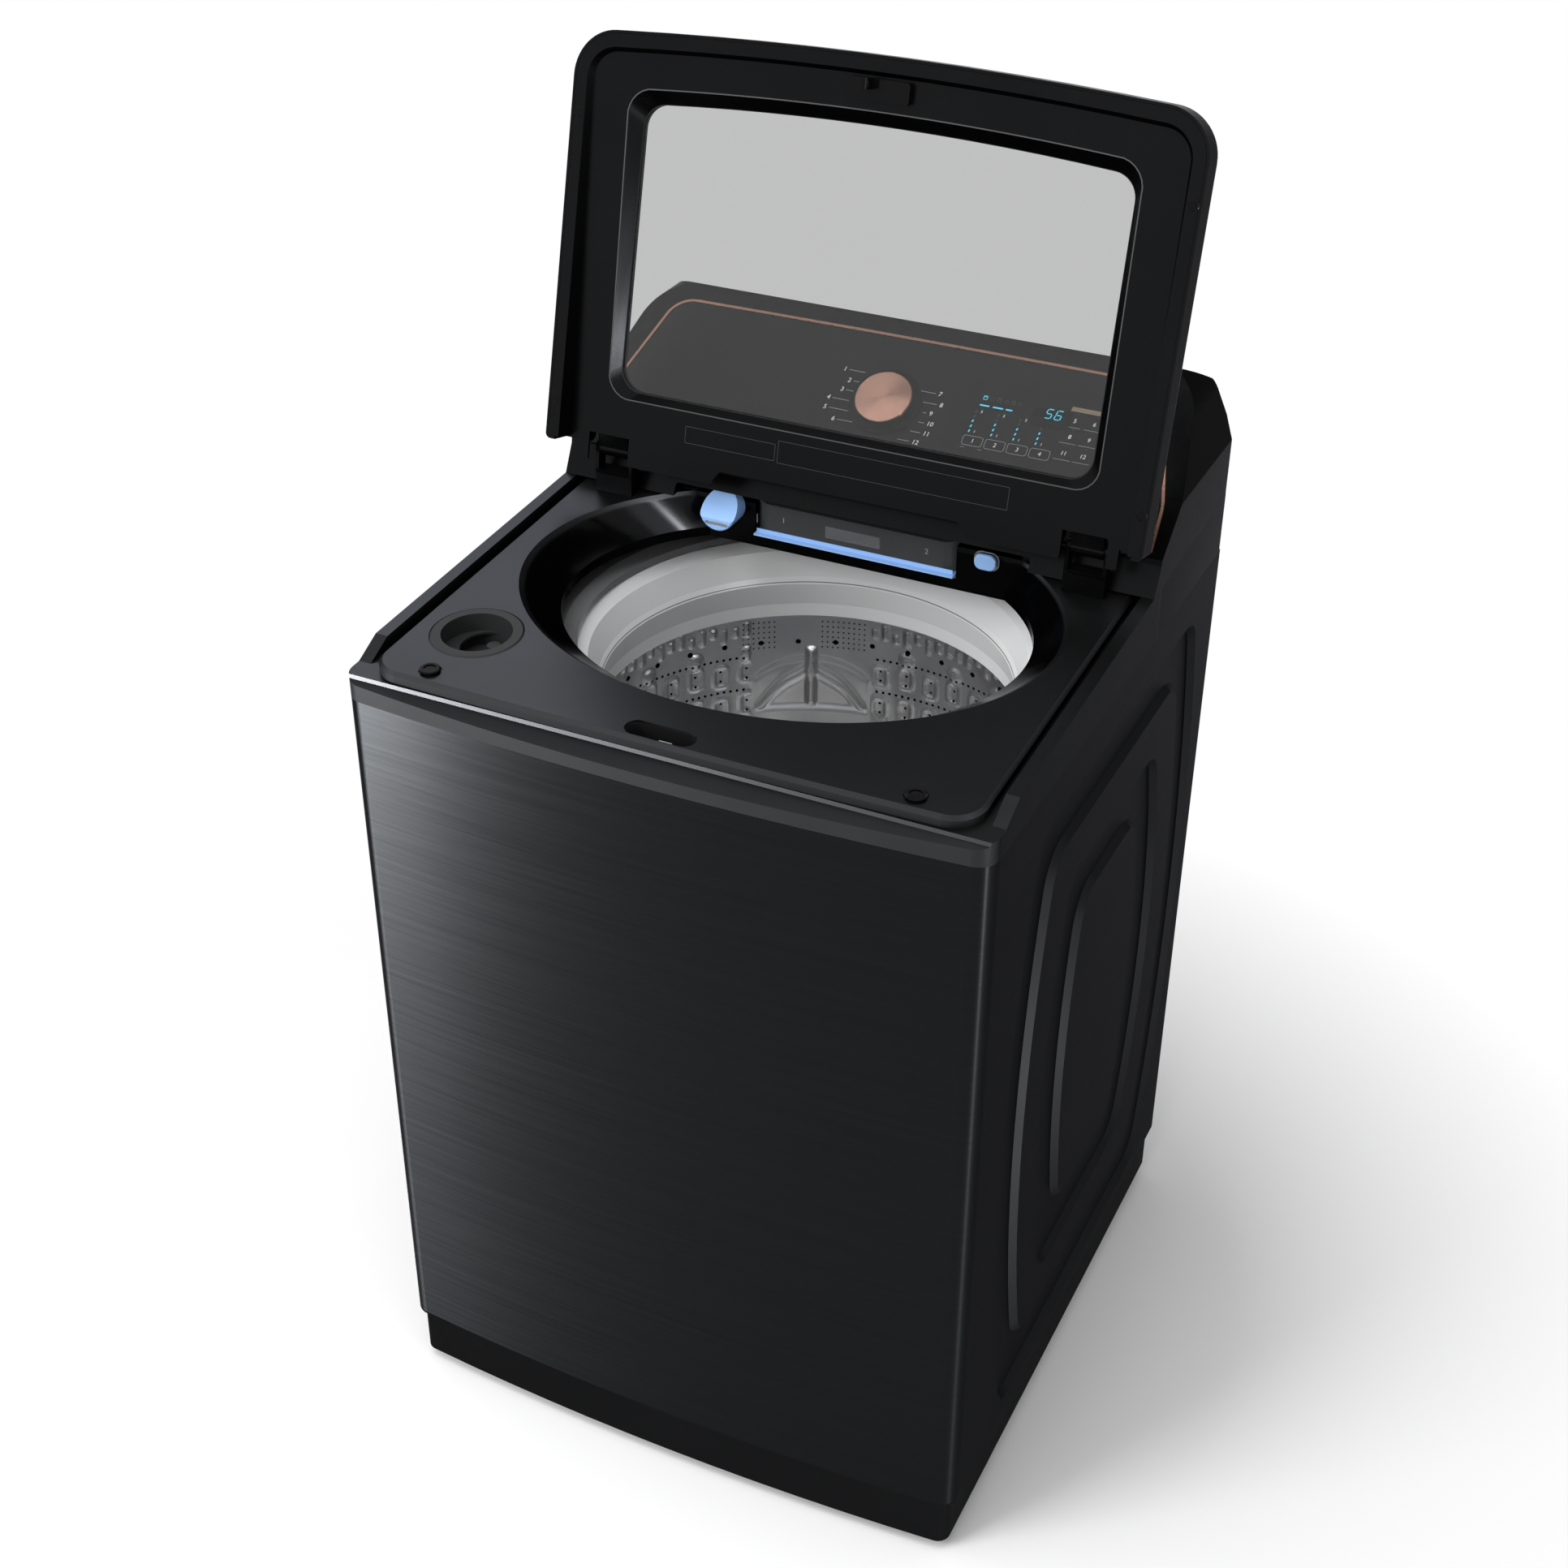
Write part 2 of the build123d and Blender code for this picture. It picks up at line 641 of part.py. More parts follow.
with BuildPart() as button_ring:
    with BuildSketch(wall_plane):
        with Locations((button_x, button_z)):
            RectangleRounded(button_width + 2 * ring_width + 2 * running_gap,
                             button_height + 2 * ring_width + 2 * running_gap, button_height / 2)
            RectangleRounded(button_width + 2 * running_gap, button_height + 2 * running_gap,
                             button_height / 2 - gap / 2, mode=Mode.SUBTRACT)
    extrude(amount=1.2)
finish(button_ring.part, "button_ring")

with BuildPart() as jet_button:
    with BuildSketch(wall_plane.offset(running_gap + button_travel)):
        with Locations((button_x, button_z)):
            RectangleRounded(button_width, button_height, button_height / 2 - gap)
    extrude(amount=button_stand)
    fillet(jet_button.edges().group_by(Axis.Y)[0], 2)
    with BuildSketch(wall_plane.offset(running_gap + button_travel)):
        with Locations((button_x, button_z)):
            Circle(button_stem_radius)
    extrude(amount=-button_stem_length)
finish(jet_button.part, "jet_button")

# ---------------------------------------------------------------- detergent dispenser
housing_half = drawer_half_width + 3
housing_low = drawer_bottom - 3
housing_high = drawer_top + 3
with BuildPart() as dispenser_housing:
    with BuildSketch(Plane.XZ.offset(-platform_back_y)):
        with Locations((0, (housing_low + housing_high) / 2)):
            Rectangle(2 * housing_half, housing_high - housing_low)
    extrude(amount=-drawer_depth)
    with BuildSketch(Plane.XZ.offset(-platform_back_y)):
        with Locations((0, (housing_low + housing_high) / 2)):
            Rectangle(2 * (housing_half - housing_wall), housing_high - housing_low - 2 * housing_wall)
    extrude(amount=-drawer_depth + housing_wall, mode=Mode.SUBTRACT)
    # spout into the tub, and the inlet spigot on top
    with BuildSketch(Plane.XY.offset(housing_low)):
        with Locations((0, platform_back_y + 30)):
            RectangleRounded(120, 24, 6)
            RectangleRounded(112, 16, 4, mode=Mode.SUBTRACT)
    extrude(amount=-8)
    with BuildSketch(Plane.XY.offset(housing_high - housing_wall)):
        with Locations((inlet_x, inlet_y)):
            Circle(hose_radius - hose_wall)
            Circle(hose_radius - 2 * hose_wall, mode=Mode.SUBTRACT)
    extrude(amount=14)
finish(dispenser_housing.part, "dispenser_housing")

tray_half = housing_half - housing_wall - 2 * running_gap
tray_low = housing_low + housing_wall + running_gap
tray_high = drawer_top - 3 * gap
with BuildPart() as drawer_tray:
    with BuildSketch(Plane.XY.offset(tray_low)):
        with Locations((0, (drawer_face_y + platform_back_y + drawer_depth - 12) / 2)):
            Rectangle(2 * (drawer_half_width - 2), platform_back_y + drawer_depth - 12 - drawer_face_y)
    extrude(amount=tray_high - tray_low)
    for x, half in ((-drawer_half_width / 2 - 2, drawer_half_width / 2 - 6), (drawer_half_width / 2, drawer_half_width / 2 - 6)):
        with BuildSketch(Plane.XY.offset(tray_low + housing_wall)):
            with Locations((x, (drawer_face_y + platform_back_y + drawer_depth - 12) / 2)):
                RectangleRounded(2 * half, platform_back_y + drawer_depth - 18 - drawer_face_y, 6)
        extrude(amount=tray_high, mode=Mode.SUBTRACT)
finish(drawer_tray.part, "drawer_tray")

with BuildPart() as drawer_front:
    with BuildSketch(Plane.XY.offset(drawer_bottom)):
        with BuildLine():
            Polyline((-drawer_half_width + drawer_end, bowl_back_y), (drawer_half_width - drawer_end, bowl_back_y),
                     (drawer_half_width, drawer_face_y), (-drawer_half_width, drawer_face_y), close=True)
        make_face()
    extrude(amount=drawer_top - drawer_bottom)
finish(drawer_front.part, "drawer_front")

with BuildPart() as drawer_lip:
    with BuildSketch(Plane.YZ.offset(-drawer_half_width)):
        with BuildLine():
            Polyline((drawer_face_y, drawer_bottom), (bowl_back_y - lip_reach, drawer_bottom),
                     (bowl_back_y - lip_reach, drawer_bottom - 2), (drawer_face_y - 4, drawer_bottom - lip_height),
                     (drawer_face_y, drawer_bottom - lip_height), close=True)
        make_face()
    extrude(amount=2 * drawer_half_width)
finish(drawer_lip.part, "drawer_lip")

# ---------------------------------------------------------------- console
seat_slope = slope_rise
console_seat = rail_front_z + (console_foot_y - rail_front_y) * seat_slope
lean_y, lean_z = sin(radians(fascia_lean)), cos(radians(fascia_lean))


def console_body(inset=0.0, face_inset=0.0, drop=0.0):
    """Console block: side profile with the leaning face and rounded ridge, cut to its front outline."""
    front, back, low = console_front_y + inset, console_back_y - inset, console_seat - drop
    shift_y, shift_z = face_inset * lean_z, -face_inset * lean_y
    reach = fascia_height + 4 - inset
    foot = console_foot_y + inset
    back_low = low + (back - foot) * seat_slope
    with BuildPart() as body:
        with BuildSketch(Plane.YZ) as profile:
            with BuildLine():
                skirt = Line((foot, low), (front, fascia_z - 6 + min(shift_z, 0) / 2))
                face = Line((fascia_y + shift_y, fascia_z + shift_z),
                            (fascia_y + reach * lean_y + shift_y, fascia_z + reach * lean_z + shift_z))
                Line(skirt @ 1, face @ 0)
                ridge = Line((console_top_y, console_top_z - inset), (console_top_y + 14, console_top_z - inset))
                Line(face @ 1, ridge @ 0)
                rear = Line((back, console_top_z - 60), (back, back_low))
                shoulder = Line((back - 14, console_top_z - inset - 16), rear @ 0)
                Line(ridge @ 1, shoulder @ 0)
                Line(rear @ 1, skirt @ 0)
            make_face()
            fillet(profile.vertices().group_by(Axis.Y)[-2], 30 - inset)
        extrude(amount=half_width, both=True)
        with BuildSketch(Plane.XZ.offset(-cabinet_width)) as outline:
            with BuildLine():
                Polyline((-console_half_width + inset, low - 60), (-console_half_width + inset, console_shoulder_z),
                         (-console_top_half + inset, console_top_z - inset),
                         (console_top_half - inset, console_top_z - inset),
                         (console_half_width - inset, console_shoulder_z),
                         (console_half_width - inset, low - 60), close=True)
            make_face()
            fillet(outline.vertices().group_by(Axis.Y)[-1], console_top_radius - inset)
            fillet(outline.vertices().filter_by(lambda v: abs(v.Z - console_shoulder_z) < 0.1), 90)
        extrude(amount=2 * cabinet_width, mode=Mode.INTERSECT)
    return body.part


def fascia_outline(grow=0.0, plane=fascia_plane):
    """Outline of the control panel in its leaning plane: wide foot, slanting shoulders, rounded top corners."""
    shoulder_x, shoulder_v = trim_shoulder
    with BuildSketch(plane) as sketch:
        with BuildLine():
            foot = Line((trim_bottom_half, 0), (-trim_bottom_half, 0))
            left = Line(foot @ 1, (-shoulder_x, shoulder_v))
            left_up = Line(left @ 1, (-trim_top_half, fascia_height))
            top = ThreePointArc(left_up @ 1, (0, fascia_height + 1.5), (trim_top_half, fascia_height))
            right = Line(top @ 1, (shoulder_x, shoulder_v))
            Line(right @ 1, foot @ 0)
        make_face()
        fillet(sketch.vertices().group_by(Axis.Y)[-1], trim_top_radius)
        fillet(sketch.vertices().filter_by(lambda v: abs(v.Y - shoulder_v) < 0.1), 70)
        fillet(sketch.vertices().group_by(Axis.Y)[0], 8)
        if grow:
            offset(amount=grow, mode=Mode.REPLACE)
    return sketch.sketch


def on_fascia(x, v, rise=0.0):
    """Plane on the control panel at x and v up its slope."""
    return Plane(fascia_plane * Location((x, v, rise)))


valve_spots = [(valve_x + side * thread_spacing / 2, valve_z) for side in (-1, 1)]
with BuildPart() as console_housing:
    add(console_body())
    add(console_body(console_wall, 8, drop=60), mode=Mode.SUBTRACT)
    # seat of the panel and its trim, open behind
    extrude(fascia_outline(trim_width), amount=-fascia_thickness, mode=Mode.SUBTRACT)
    extrude(fascia_outline(-16, fascia_plane.offset(2)), amount=-14, mode=Mode.SUBTRACT)
    # arch over the drawer
    with BuildSketch(Plane.XZ.offset(-console_foot_y + gap)):
        with Locations((0, bulkhead_top + gap - arch_height / 2)):
            RectangleRounded(2 * (bulkhead_half + gap), arch_height, arch_radius)
    extrude(amount=-(console_front_y - console_foot_y) - 4 * console_wall, mode=Mode.SUBTRACT)
    # holes for the inlet threads
    with BuildSketch(Plane.XZ.offset(-console_back_y - gap)):
        with Locations(*valve_spots):
            Circle(thread_radius + gap)
    extrude(amount=3 * console_wall, mode=Mode.SUBTRACT)
finish(console_housing.part, "console_housing")

with BuildPart() as console_trim:
    extrude(fascia_outline(trim_width, fascia_plane.offset(-fascia_thickness)),
            amount=fascia_thickness + trim_proud)
    extrude(fascia_outline(0, fascia_plane.offset(-fascia_thickness)), amount=fascia_thickness + trim_proud,
            mode=Mode.SUBTRACT)
    add(slab(fascia_plane.offset(-2 * fascia_thickness), half_width, -30, 6, 4 * fascia_thickness),
        mode=Mode.SUBTRACT)
finish(console_trim.part, "console_trim")

display_x, display_v = display_centre
dial_x, dial_v = dial_centre
with BuildPart() as console_fascia:
    extrude(fascia_outline(-fit_gap, fascia_plane.offset(-fascia_thickness)), amount=fascia_thickness)
    with BuildSketch(fascia_plane):
        with Locations((display_x, display_v)):
            RectangleRounded(*display_size, 2)
    extrude(amount=-1, mode=Mode.SUBTRACT)
    with BuildSketch(fascia_plane):
        with Locations((dial_x, dial_v)):
            Circle(dial_stem_radius + running_gap)
    extrude(amount=-fascia_thickness, mode=Mode.SUBTRACT)
finish(console_fascia.part, "console_fascia")

with BuildPart() as display_window:
    with BuildSketch(fascia_plane.offset(-1)):
        with Locations((display_x, display_v)):
            RectangleRounded(display_size[0] - 2 * fit_gap, display_size[1] - 2 * fit_gap, 2)
    extrude(amount=1.2)
finish(display_window.part, "display_window")

with BuildPart() as dial_bezel:
    with BuildSketch(on_fascia(dial_x, dial_v)):
        Circle(bezel_radius)
        Circle(dial_stem_radius + running_gap, mode=Mode.SUBTRACT)
    extrude(amount=bezel_height)
    chamfer(dial_bezel.edges().filter_by(GeomType.CIRCLE).group_by(SortBy.RADIUS)[-1].sort_by(Axis.Z)[-1],
            bezel_height - gap)
finish(dial_bezel.part, "dial_bezel")

with BuildPart() as dial_knob:
    with BuildSketch(on_fascia(dial_x, dial_v, bezel_height + running_gap)):
        Circle(dial_radius)
    extrude(amount=dial_height - bezel_height)
    top_edge = dial_knob.edges().filter_by(GeomType.CIRCLE).sort_by(Axis.Z)[-1]
    chamfer(top_edge, 1.6)
    with BuildSketch(on_fascia(dial_x, dial_v, bezel_height + running_gap)):
        Circle(dial_stem_radius)
    extrude(amount=-bezel_height - fascia_thickness)
    with BuildSketch(on_fascia(dial_x, dial_v, -fascia_thickness - gap)):
        Circle(dial_shaft_radius + fit_gap)
    extrude(amount=fascia_thickness + 12, mode=Mode.SUBTRACT)
finish(dial_knob.part, "dial_knob")

board_depth = 16.0
with BuildPart() as control_board:
    with BuildSketch(fascia_plane.offset(-board_depth)):
        with Locations((110, fascia_height / 2 + 6)):
            Rectangle(300, 110)
    extrude(amount=-1.6)
    for x, v in ((-30, 60), (-30, 140), (250, 60), (250, 140)):
        with BuildSketch(fascia_plane.offset(-board_depth)):
            with Locations((x, v)):
                Circle(3)
        extrude(amount=board_depth - fascia_thickness)
    with BuildSketch(fascia_plane.offset(-board_depth)):
        with Locations((display_x, display_v)):
            Rectangle(46, 24)
    extrude(amount=8)
    with BuildSketch(fascia_plane.offset(-board_depth - 1.6)):
        with Locations((150, 90), (60, 80), (220, 110)):
            Rectangle(24, 18)
    extrude(amount=-10)
finish(control_board.part, "control_board")

with BuildPart() as dial_encoder:
    with BuildSketch(fascia_plane.offset(-board_depth)):
        with Locations((dial_x, dial_v)):
            RectangleRounded(14, 14, 1)
    extrude(amount=7)
    with BuildSketch(fascia_plane.offset(-board_depth + 7)):
        with Locations((dial_x, dial_v)):
            Circle(dial_shaft_radius)
    extrude(amount=16)
finish(dial_encoder.part, "dial_encoder")

valve_depth = 40.0
with BuildPart() as inlet_valves:
    for x, z in valve_spots:
        with BuildSketch(Plane.XZ.offset(-console_back_y + console_wall)):
            with Locations((x, z)):
                Circle(thread_radius)
                Circle(thread_radius - 3.4, mode=Mode.SUBTRACT)
        extrude(amount=-console_wall - valve_reach)
        with BuildSketch(Plane.XZ.offset(-console_back_y + console_wall)):
            with Locations((x, z)):
                Circle(thread_radius + 5)
        extrude(amount=valve_depth)
        with BuildSketch(Plane.XY.offset(valve_z)):
            with Locations((x, console_back_y - console_wall - valve_depth / 2)):
                Circle(14)
        extrude(amount=38)
    with BuildSketch(Plane.YZ.offset(valve_x - thread_spacing / 2)):
        with Locations((console_back_y - console_wall - valve_depth / 2 - 6, valve_z - 6)):
            Circle(10)
    extrude(amount=thread_spacing)
    with BuildSketch(Plane.XZ.offset(-console_back_y + console_wall + valve_depth - gap)):
        with Locations((valve_x - thread_spacing / 2, valve_z)):
            Circle(hose_radius - hose_wall - fit_gap)
            Circle(hose_radius - 2 * hose_wall, mode=Mode.SUBTRACT)
    extrude(amount=16)
finish(inlet_valves.part, "inlet_valves")


# ---------------------------------------------------------------- lid
def on_lid(depth=0.0):
    """Plane of the lid, at a depth behind its inner face."""
    return lid_plane.offset(-depth)


def lid_outline(plane, inset=0.0):
    """Lid outline: straight sides and foot, bowed front edge, rounded front corners."""
    with BuildSketch(plane) as sketch:
        with BuildLine():
            left = Line((-lid_half_width, 0), (-lid_half_width, lid_length - lid_bow))
            front = ThreePointArc(left @ 1, (0, lid_length), (lid_half_width, lid_length - lid_bow))
            right = Line(front @ 1, (lid_half_width, 0))
            Line(right @ 1, left @ 0)
        make_face()
        fillet(sketch.vertices().group_by(Axis.Y)[-1], lid_corner_radius)
        fillet(sketch.vertices().group_by(Axis.Y)[0], foot_radius)
        if inset:
            offset(amount=-inset, mode=Mode.REPLACE)
    return sketch.sketch


def field_outline(plane, inset, foot):
    """Outline of the lid's inner field: like the lid's own, but with its foot at a height of its own."""
    half, top = lid_half_width - inset, lid_length - inset
    with BuildSketch(plane) as sketch:
        with BuildLine():
            left = Line((-half, foot), (-half, top - lid_bow))
            front = ThreePointArc(left @ 1, (0, top), (half, top - lid_bow))
            right = Line(front @ 1, (half, foot))
            Line(right @ 1, left @ 0)
        make_face()
        fillet(sketch.vertices().group_by(Axis.Y)[-1], lid_corner_radius - inset)
    return sketch.sketch


def foot_outline(plane):
    """Outline of the field's foot, below the lid's lower edge, arched over the drawer."""
    reach, arch_out, arch_in = -foot_reach, lid_arch_half + foot_radius, lid_arch_half - foot_radius
    with BuildSketch(plane) as sketch:
        with BuildLine():
            Polyline((-foot_half_width, 2 * lid_wall), (-foot_half_width, reach), (-arch_out, reach),
                     (-arch_in, reach + lid_arch), (arch_in, reach + lid_arch), (arch_out, reach),
                     (foot_half_width, reach), (foot_half_width, 2 * lid_wall), close=True)
        make_face()
        fillet(sketch.vertices().filter_by(lambda v: v.Y < 0), foot_radius / 2)
    return sketch.sketch


def window_outline(plane, bevel=0.0, grow=0.0):
    """Window outline in the lid: the clear glass, widened by a share of the bevelled frame and by grow."""
    half = glass_half_width + bevel * bevel_side + grow
    low, high = glass_bottom - bevel * bevel_foot - grow, glass_top + bevel * bevel_front + grow
    with BuildSketch(plane) as sketch:
        with BuildLine():
            left = Line((-half, low), (-half, high - window_bow))
            front = ThreePointArc(left @ 1, (0, high), (half, high - window_bow))
            right = Line(front @ 1, (half, low))
            Line(right @ 1, left @ 0)
        make_face()
        fillet(sketch.vertices(), window_radius + grow)
    return sketch.sketch


def hinge_notches():
    """The two notches at the lid's foot that clear the hinges."""
    low = -foot_reach - gap
    with BuildPart() as notches:
        with BuildSketch(on_lid(-gap)):
            with Locations(*[(side * hinge_x, (low + hinge_cut_top) / 2) for side in (-1, 1)]):
                Rectangle(hinge_cut_width, hinge_cut_top - low)
        extrude(amount=-lid_thickness - 2 * gap)
    return notches.part


foot_radius = 6.0
glass_seat = glass_depth + seal_thickness
field_tilt = degrees(atan((field_foot_depth - field_front_depth) / lid_length))
field_plane = Plane(on_lid(field_foot_depth).location * Location((0, 0, 0), (field_tilt, 0, 0)))
with BuildPart() as lid_outer_frame:
    extrude(lid_outline(on_lid(lid_thickness)), amount=lid_thickness)
    fillet(lid_outer_frame.faces().filter_by(lambda f: abs(lid_plane.to_local_coords(f.center()).Z
                                                            + lid_thickness) < 0.01).edges(), lid_edge_radius)
    extrude(lid_outline(on_lid(lid_thickness - lid_wall), lid_wall), amount=lid_thickness, mode=Mode.SUBTRACT)
    # ledge that carries the glass
    extrude(window_outline(on_lid(lid_thickness - lid_wall), grow=seal_width + lid_wall),
            amount=lid_thickness - lid_wall - glass_seat - glass_thickness)
    extrude(window_outline(on_lid(lid_thickness + gap)), amount=lid_thickness, mode=Mode.SUBTRACT)
    # room for the inner frame's foot
    add(slab(on_lid(field_foot_depth + lid_wall + gap), lid_half_width - rim_width + lid_wall + gap,
             -lid_wall, 2 * lid_wall, lid_thickness), mode=Mode.SUBTRACT)
    add(hinge_notches(), mode=Mode.SUBTRACT)
    # anchor blocks for the hinge arms
    for side in (-1, 1):
        with BuildSketch(on_lid(lid_thickness - lid_wall)):
            with Locations((side * hinge_x, hinge_cut_top + anchor_height / 2)):
                Rectangle(hinge_cut_width, anchor_height)
        extrude(amount=lid_thickness - lid_wall - field_foot_depth - lid_wall - gap)
finish(lid_outer_frame.part, "lid_outer_frame")

rim_inset = lid_wall + running_gap
with BuildPart() as lid_inner_frame:
    # flat rim, and the tray behind it down to the leaning field
    extrude(lid_outline(on_lid(lid_wall), rim_inset), amount=lid_wall)
    extrude(field_outline(on_lid(field_foot_depth + lid_wall), rim_width - lid_wall, lid_wall + running_gap),
            amount=field_foot_depth + lid_wall)
    add(slab(field_plane.offset(-lid_wall), cabinet_width, -lid_length, 2 * lid_length, -lid_thickness),
        mode=Mode.SUBTRACT)
    loft([field_outline(field_plane, rim_width + rim_draft, -lid_thickness),
          field_outline(on_lid(), rim_width, -lid_thickness)], mode=Mode.SUBTRACT)
    extrude(foot_outline(field_plane), amount=-lid_wall)
    # bevelled frame down to the glass
    loft([window_outline(field_plane.offset(-lid_wall / 2), 1, lid_wall), window_outline(on_lid(glass_depth), 0, lid_wall)])
    loft([window_outline(field_plane.offset(gap), 1, gap / 2), window_outline(on_lid(glass_depth + gap))],
         mode=Mode.SUBTRACT)
    add(hinge_notches(), mode=Mode.SUBTRACT)
finish(lid_inner_frame.part, "lid_inner_frame")

with BuildPart() as lid_glass_seal:
    extrude(window_outline(on_lid(glass_seat), grow=seal_width), amount=seal_thickness)
    extrude(window_outline(on_lid(glass_seat)), amount=seal_thickness, mode=Mode.SUBTRACT)
finish(lid_glass_seal.part, "lid_glass_seal")

with BuildPart() as lid_glass:
    extrude(window_outline(on_lid(glass_seat + glass_thickness), grow=seal_width), amount=glass_thickness)
finish(lid_glass.part, "lid_glass")

striker_base = field_foot_depth - striker_along * tan(radians(field_tilt)) + gap
with BuildPart() as lid_striker:
    with BuildSketch(field_plane):
        with Locations((0, striker_along)):
            RectangleRounded(striker_width, striker_height, 4)
    extrude(amount=striker_base)
    with BuildSketch(on_lid()):
        with Locations((hook_x, hook_along)):
            Rectangle(hook_thickness, hook_width)
    extrude(amount=hook_reach)
    chamfer(lid_striker.faces().filter_by(lambda f: abs(lid_plane.to_local_coords(f.center()).Z
                                                        - hook_reach) < 0.01).edges(), 1)
    with BuildSketch(on_lid(-hook_reach + 2.5)):
        with Locations((hook_x, hook_along)):
            Rectangle(2 * hook_thickness, bolt_width + 2 * gap)
    extrude(amount=-bolt_size - 1.5 * gap, mode=Mode.SUBTRACT)
finish(lid_striker.part, "lid_striker")

with BuildPart() as lid_hinge_arms:
    for side in (-1, 1):
        with BuildSketch(Plane.YZ.offset(side * hinge_x - arm_width / 2)):
            with BuildLine():
                Polyline(*[tuple(lid_plane.from_local_coords((0, up, -back)))[1:] for up, back in
                           ((hinge_cut_top, arm_front), (hinge_cut_top, arm_back),
                            (hinge_along + barrel_radius - gap, hinge_behind + gap),
                            (hinge_along - gap, hinge_behind - barrel_radius + gap))], close=True)
            make_face()
            with Locations((axis_y, axis_z)):
                Circle(barrel_radius)
                Circle(hinge_pin_radius + fit_gap, mode=Mode.SUBTRACT)
        extrude(amount=arm_width)
finish(lid_hinge_arms.part, "lid_hinge_arms")

with BuildPart() as hinge_pins:
    for side in (-1, 1):
        with BuildSketch(Plane.YZ.offset(side * hinge_x - hinge_pin_length / 2)):
            with Locations((axis_y, axis_z)):
                Circle(hinge_pin_radius)
        extrude(amount=hinge_pin_length)
finish(hinge_pins.part, "hinge_pins")

cheek_inner = arm_width / 2 + gap
cheek_outer = hinge_pin_length / 2
skirt_back = console_foot_y - gap
with BuildPart() as hinge_brackets:
    for side in (-1, 1):
        # pedestal with a sloping foot and a slit under its ledge
        with BuildSketch(Plane.YZ.offset(side * hinge_x - cheek_outer)):
            with BuildLine():
                Polyline((hinge_foot_y, deck_z(hinge_foot_y)), (hinge_face_y, hinge_ledge_z - 2 * slit_drop),
                         (hinge_face_y, hinge_ledge_z), (skirt_back + slit_drop, hinge_ledge_z),
                         (skirt_back, deck_z(skirt_back) + 2 * gap), (skirt_back, deck_z(skirt_back)), close=True)
            make_face()
        extrude(amount=2 * cheek_outer)
        with BuildSketch(Plane.XZ.offset(-hinge_face_y)):
            with Locations((side * hinge_x, hinge_ledge_z - slit_drop)):
                Rectangle(arm_width, slit_height)
        extrude(amount=-slit_depth, mode=Mode.SUBTRACT)
        for start in (-cheek_outer, cheek_inner):
            with BuildSketch(Plane.YZ.offset(side * hinge_x + start)):
                with BuildLine():
                    Polyline((hinge_face_y, hinge_ledge_z - slit_drop), (skirt_back, hinge_ledge_z - slit_drop),
                             (axis_y + barrel_radius - gap, axis_z), (axis_y - barrel_radius + gap, axis_z), close=True)
                make_face()
                with Locations((axis_y, axis_z)):
                    Circle(barrel_radius - gap)
                    Circle(hinge_pin_radius, mode=Mode.SUBTRACT)
            extrude(amount=cheek_outer - cheek_inner)
finish(hinge_brackets.part, "hinge_brackets")

# ---------------------------------------------------------------- base, feet and back
foot_spots = [(x, y) for x in (-foot_x, foot_x) for y in (-foot_y, foot_y)]
with BuildPart() as base_frame:
    extrude(cabinet_plan(plinth_bottom, plinth_inset), amount=steel_bottom - plinth_bottom)
    extrude(cabinet_plan(plinth_bottom, plinth_inset + plinth_wall), amount=steel_bottom, mode=Mode.SUBTRACT)
    # ledge that carries the steel
    extrude(cabinet_plan(steel_bottom - plinth_wall, fit_gap), amount=plinth_wall)
    extrude(cabinet_plan(steel_bottom - plinth_wall, plinth_flange), amount=plinth_wall, mode=Mode.SUBTRACT)
    # corner plates for the feet, with their welded nuts
    with BuildSketch(Plane.XY.offset(bracket_level)):
        for side_x in (-1, 1):
            for side_back in (-1, 1):
                corner = (side_x * (half_width - plinth_inset - gap), side_back * (side_y - plinth_inset - gap))
                with BuildLine():
                    Polyline((corner[0], corner[1] - side_back * 20), (corner[0] - side_x * 20, corner[1]),
                             (corner[0] - side_x * bracket_reach, corner[1]),
                             (corner[0] - side_x * bracket_reach, corner[1] - side_back * 30),
                             (corner[0] - side_x * 30, corner[1] - side_back * bracket_reach),
                             (corner[0], corner[1] - side_back * bracket_reach), close=True)
                make_face()
        with Locations(*foot_spots):
            Circle(foot_stud_radius + running_gap, mode=Mode.SUBTRACT)
    extrude(amount=bracket_thickness)
    with BuildSketch(Plane.XY.offset(bracket_level + bracket_thickness)):
        with Locations(*foot_spots):
            RegularPolygon(nut_across_flats / 2, 6, major_radius=False)
            Circle(foot_stud_radius + running_gap, mode=Mode.SUBTRACT)
    extrude(amount=nut_height)
finish(base_frame.part, "base_frame")

for number, (x, y) in enumerate(foot_spots, start=1):
    with BuildPart() as foot:
        with BuildSketch():
            with Locations((x, y)):
                Circle(foot_pad_radius)
        extrude(amount=foot_pad_height)
        chamfer(foot.edges().group_by(Axis.Z)[-1], 3)
        with BuildSketch(Plane.XY.offset(foot_pad_height)):
            with Locations((x, y)):
                RegularPolygon(nut_across_flats / 2 - 2, 6, major_radius=False)
        extrude(amount=nut_height)
        with BuildSketch(Plane.XY.offset(foot_pad_height)):
            with Locations((x, y)):
                Circle(foot_stud_radius)
        extrude(amount=foot_stud_top - foot_pad_height)
    finish(foot.part, f"foot_{number}")

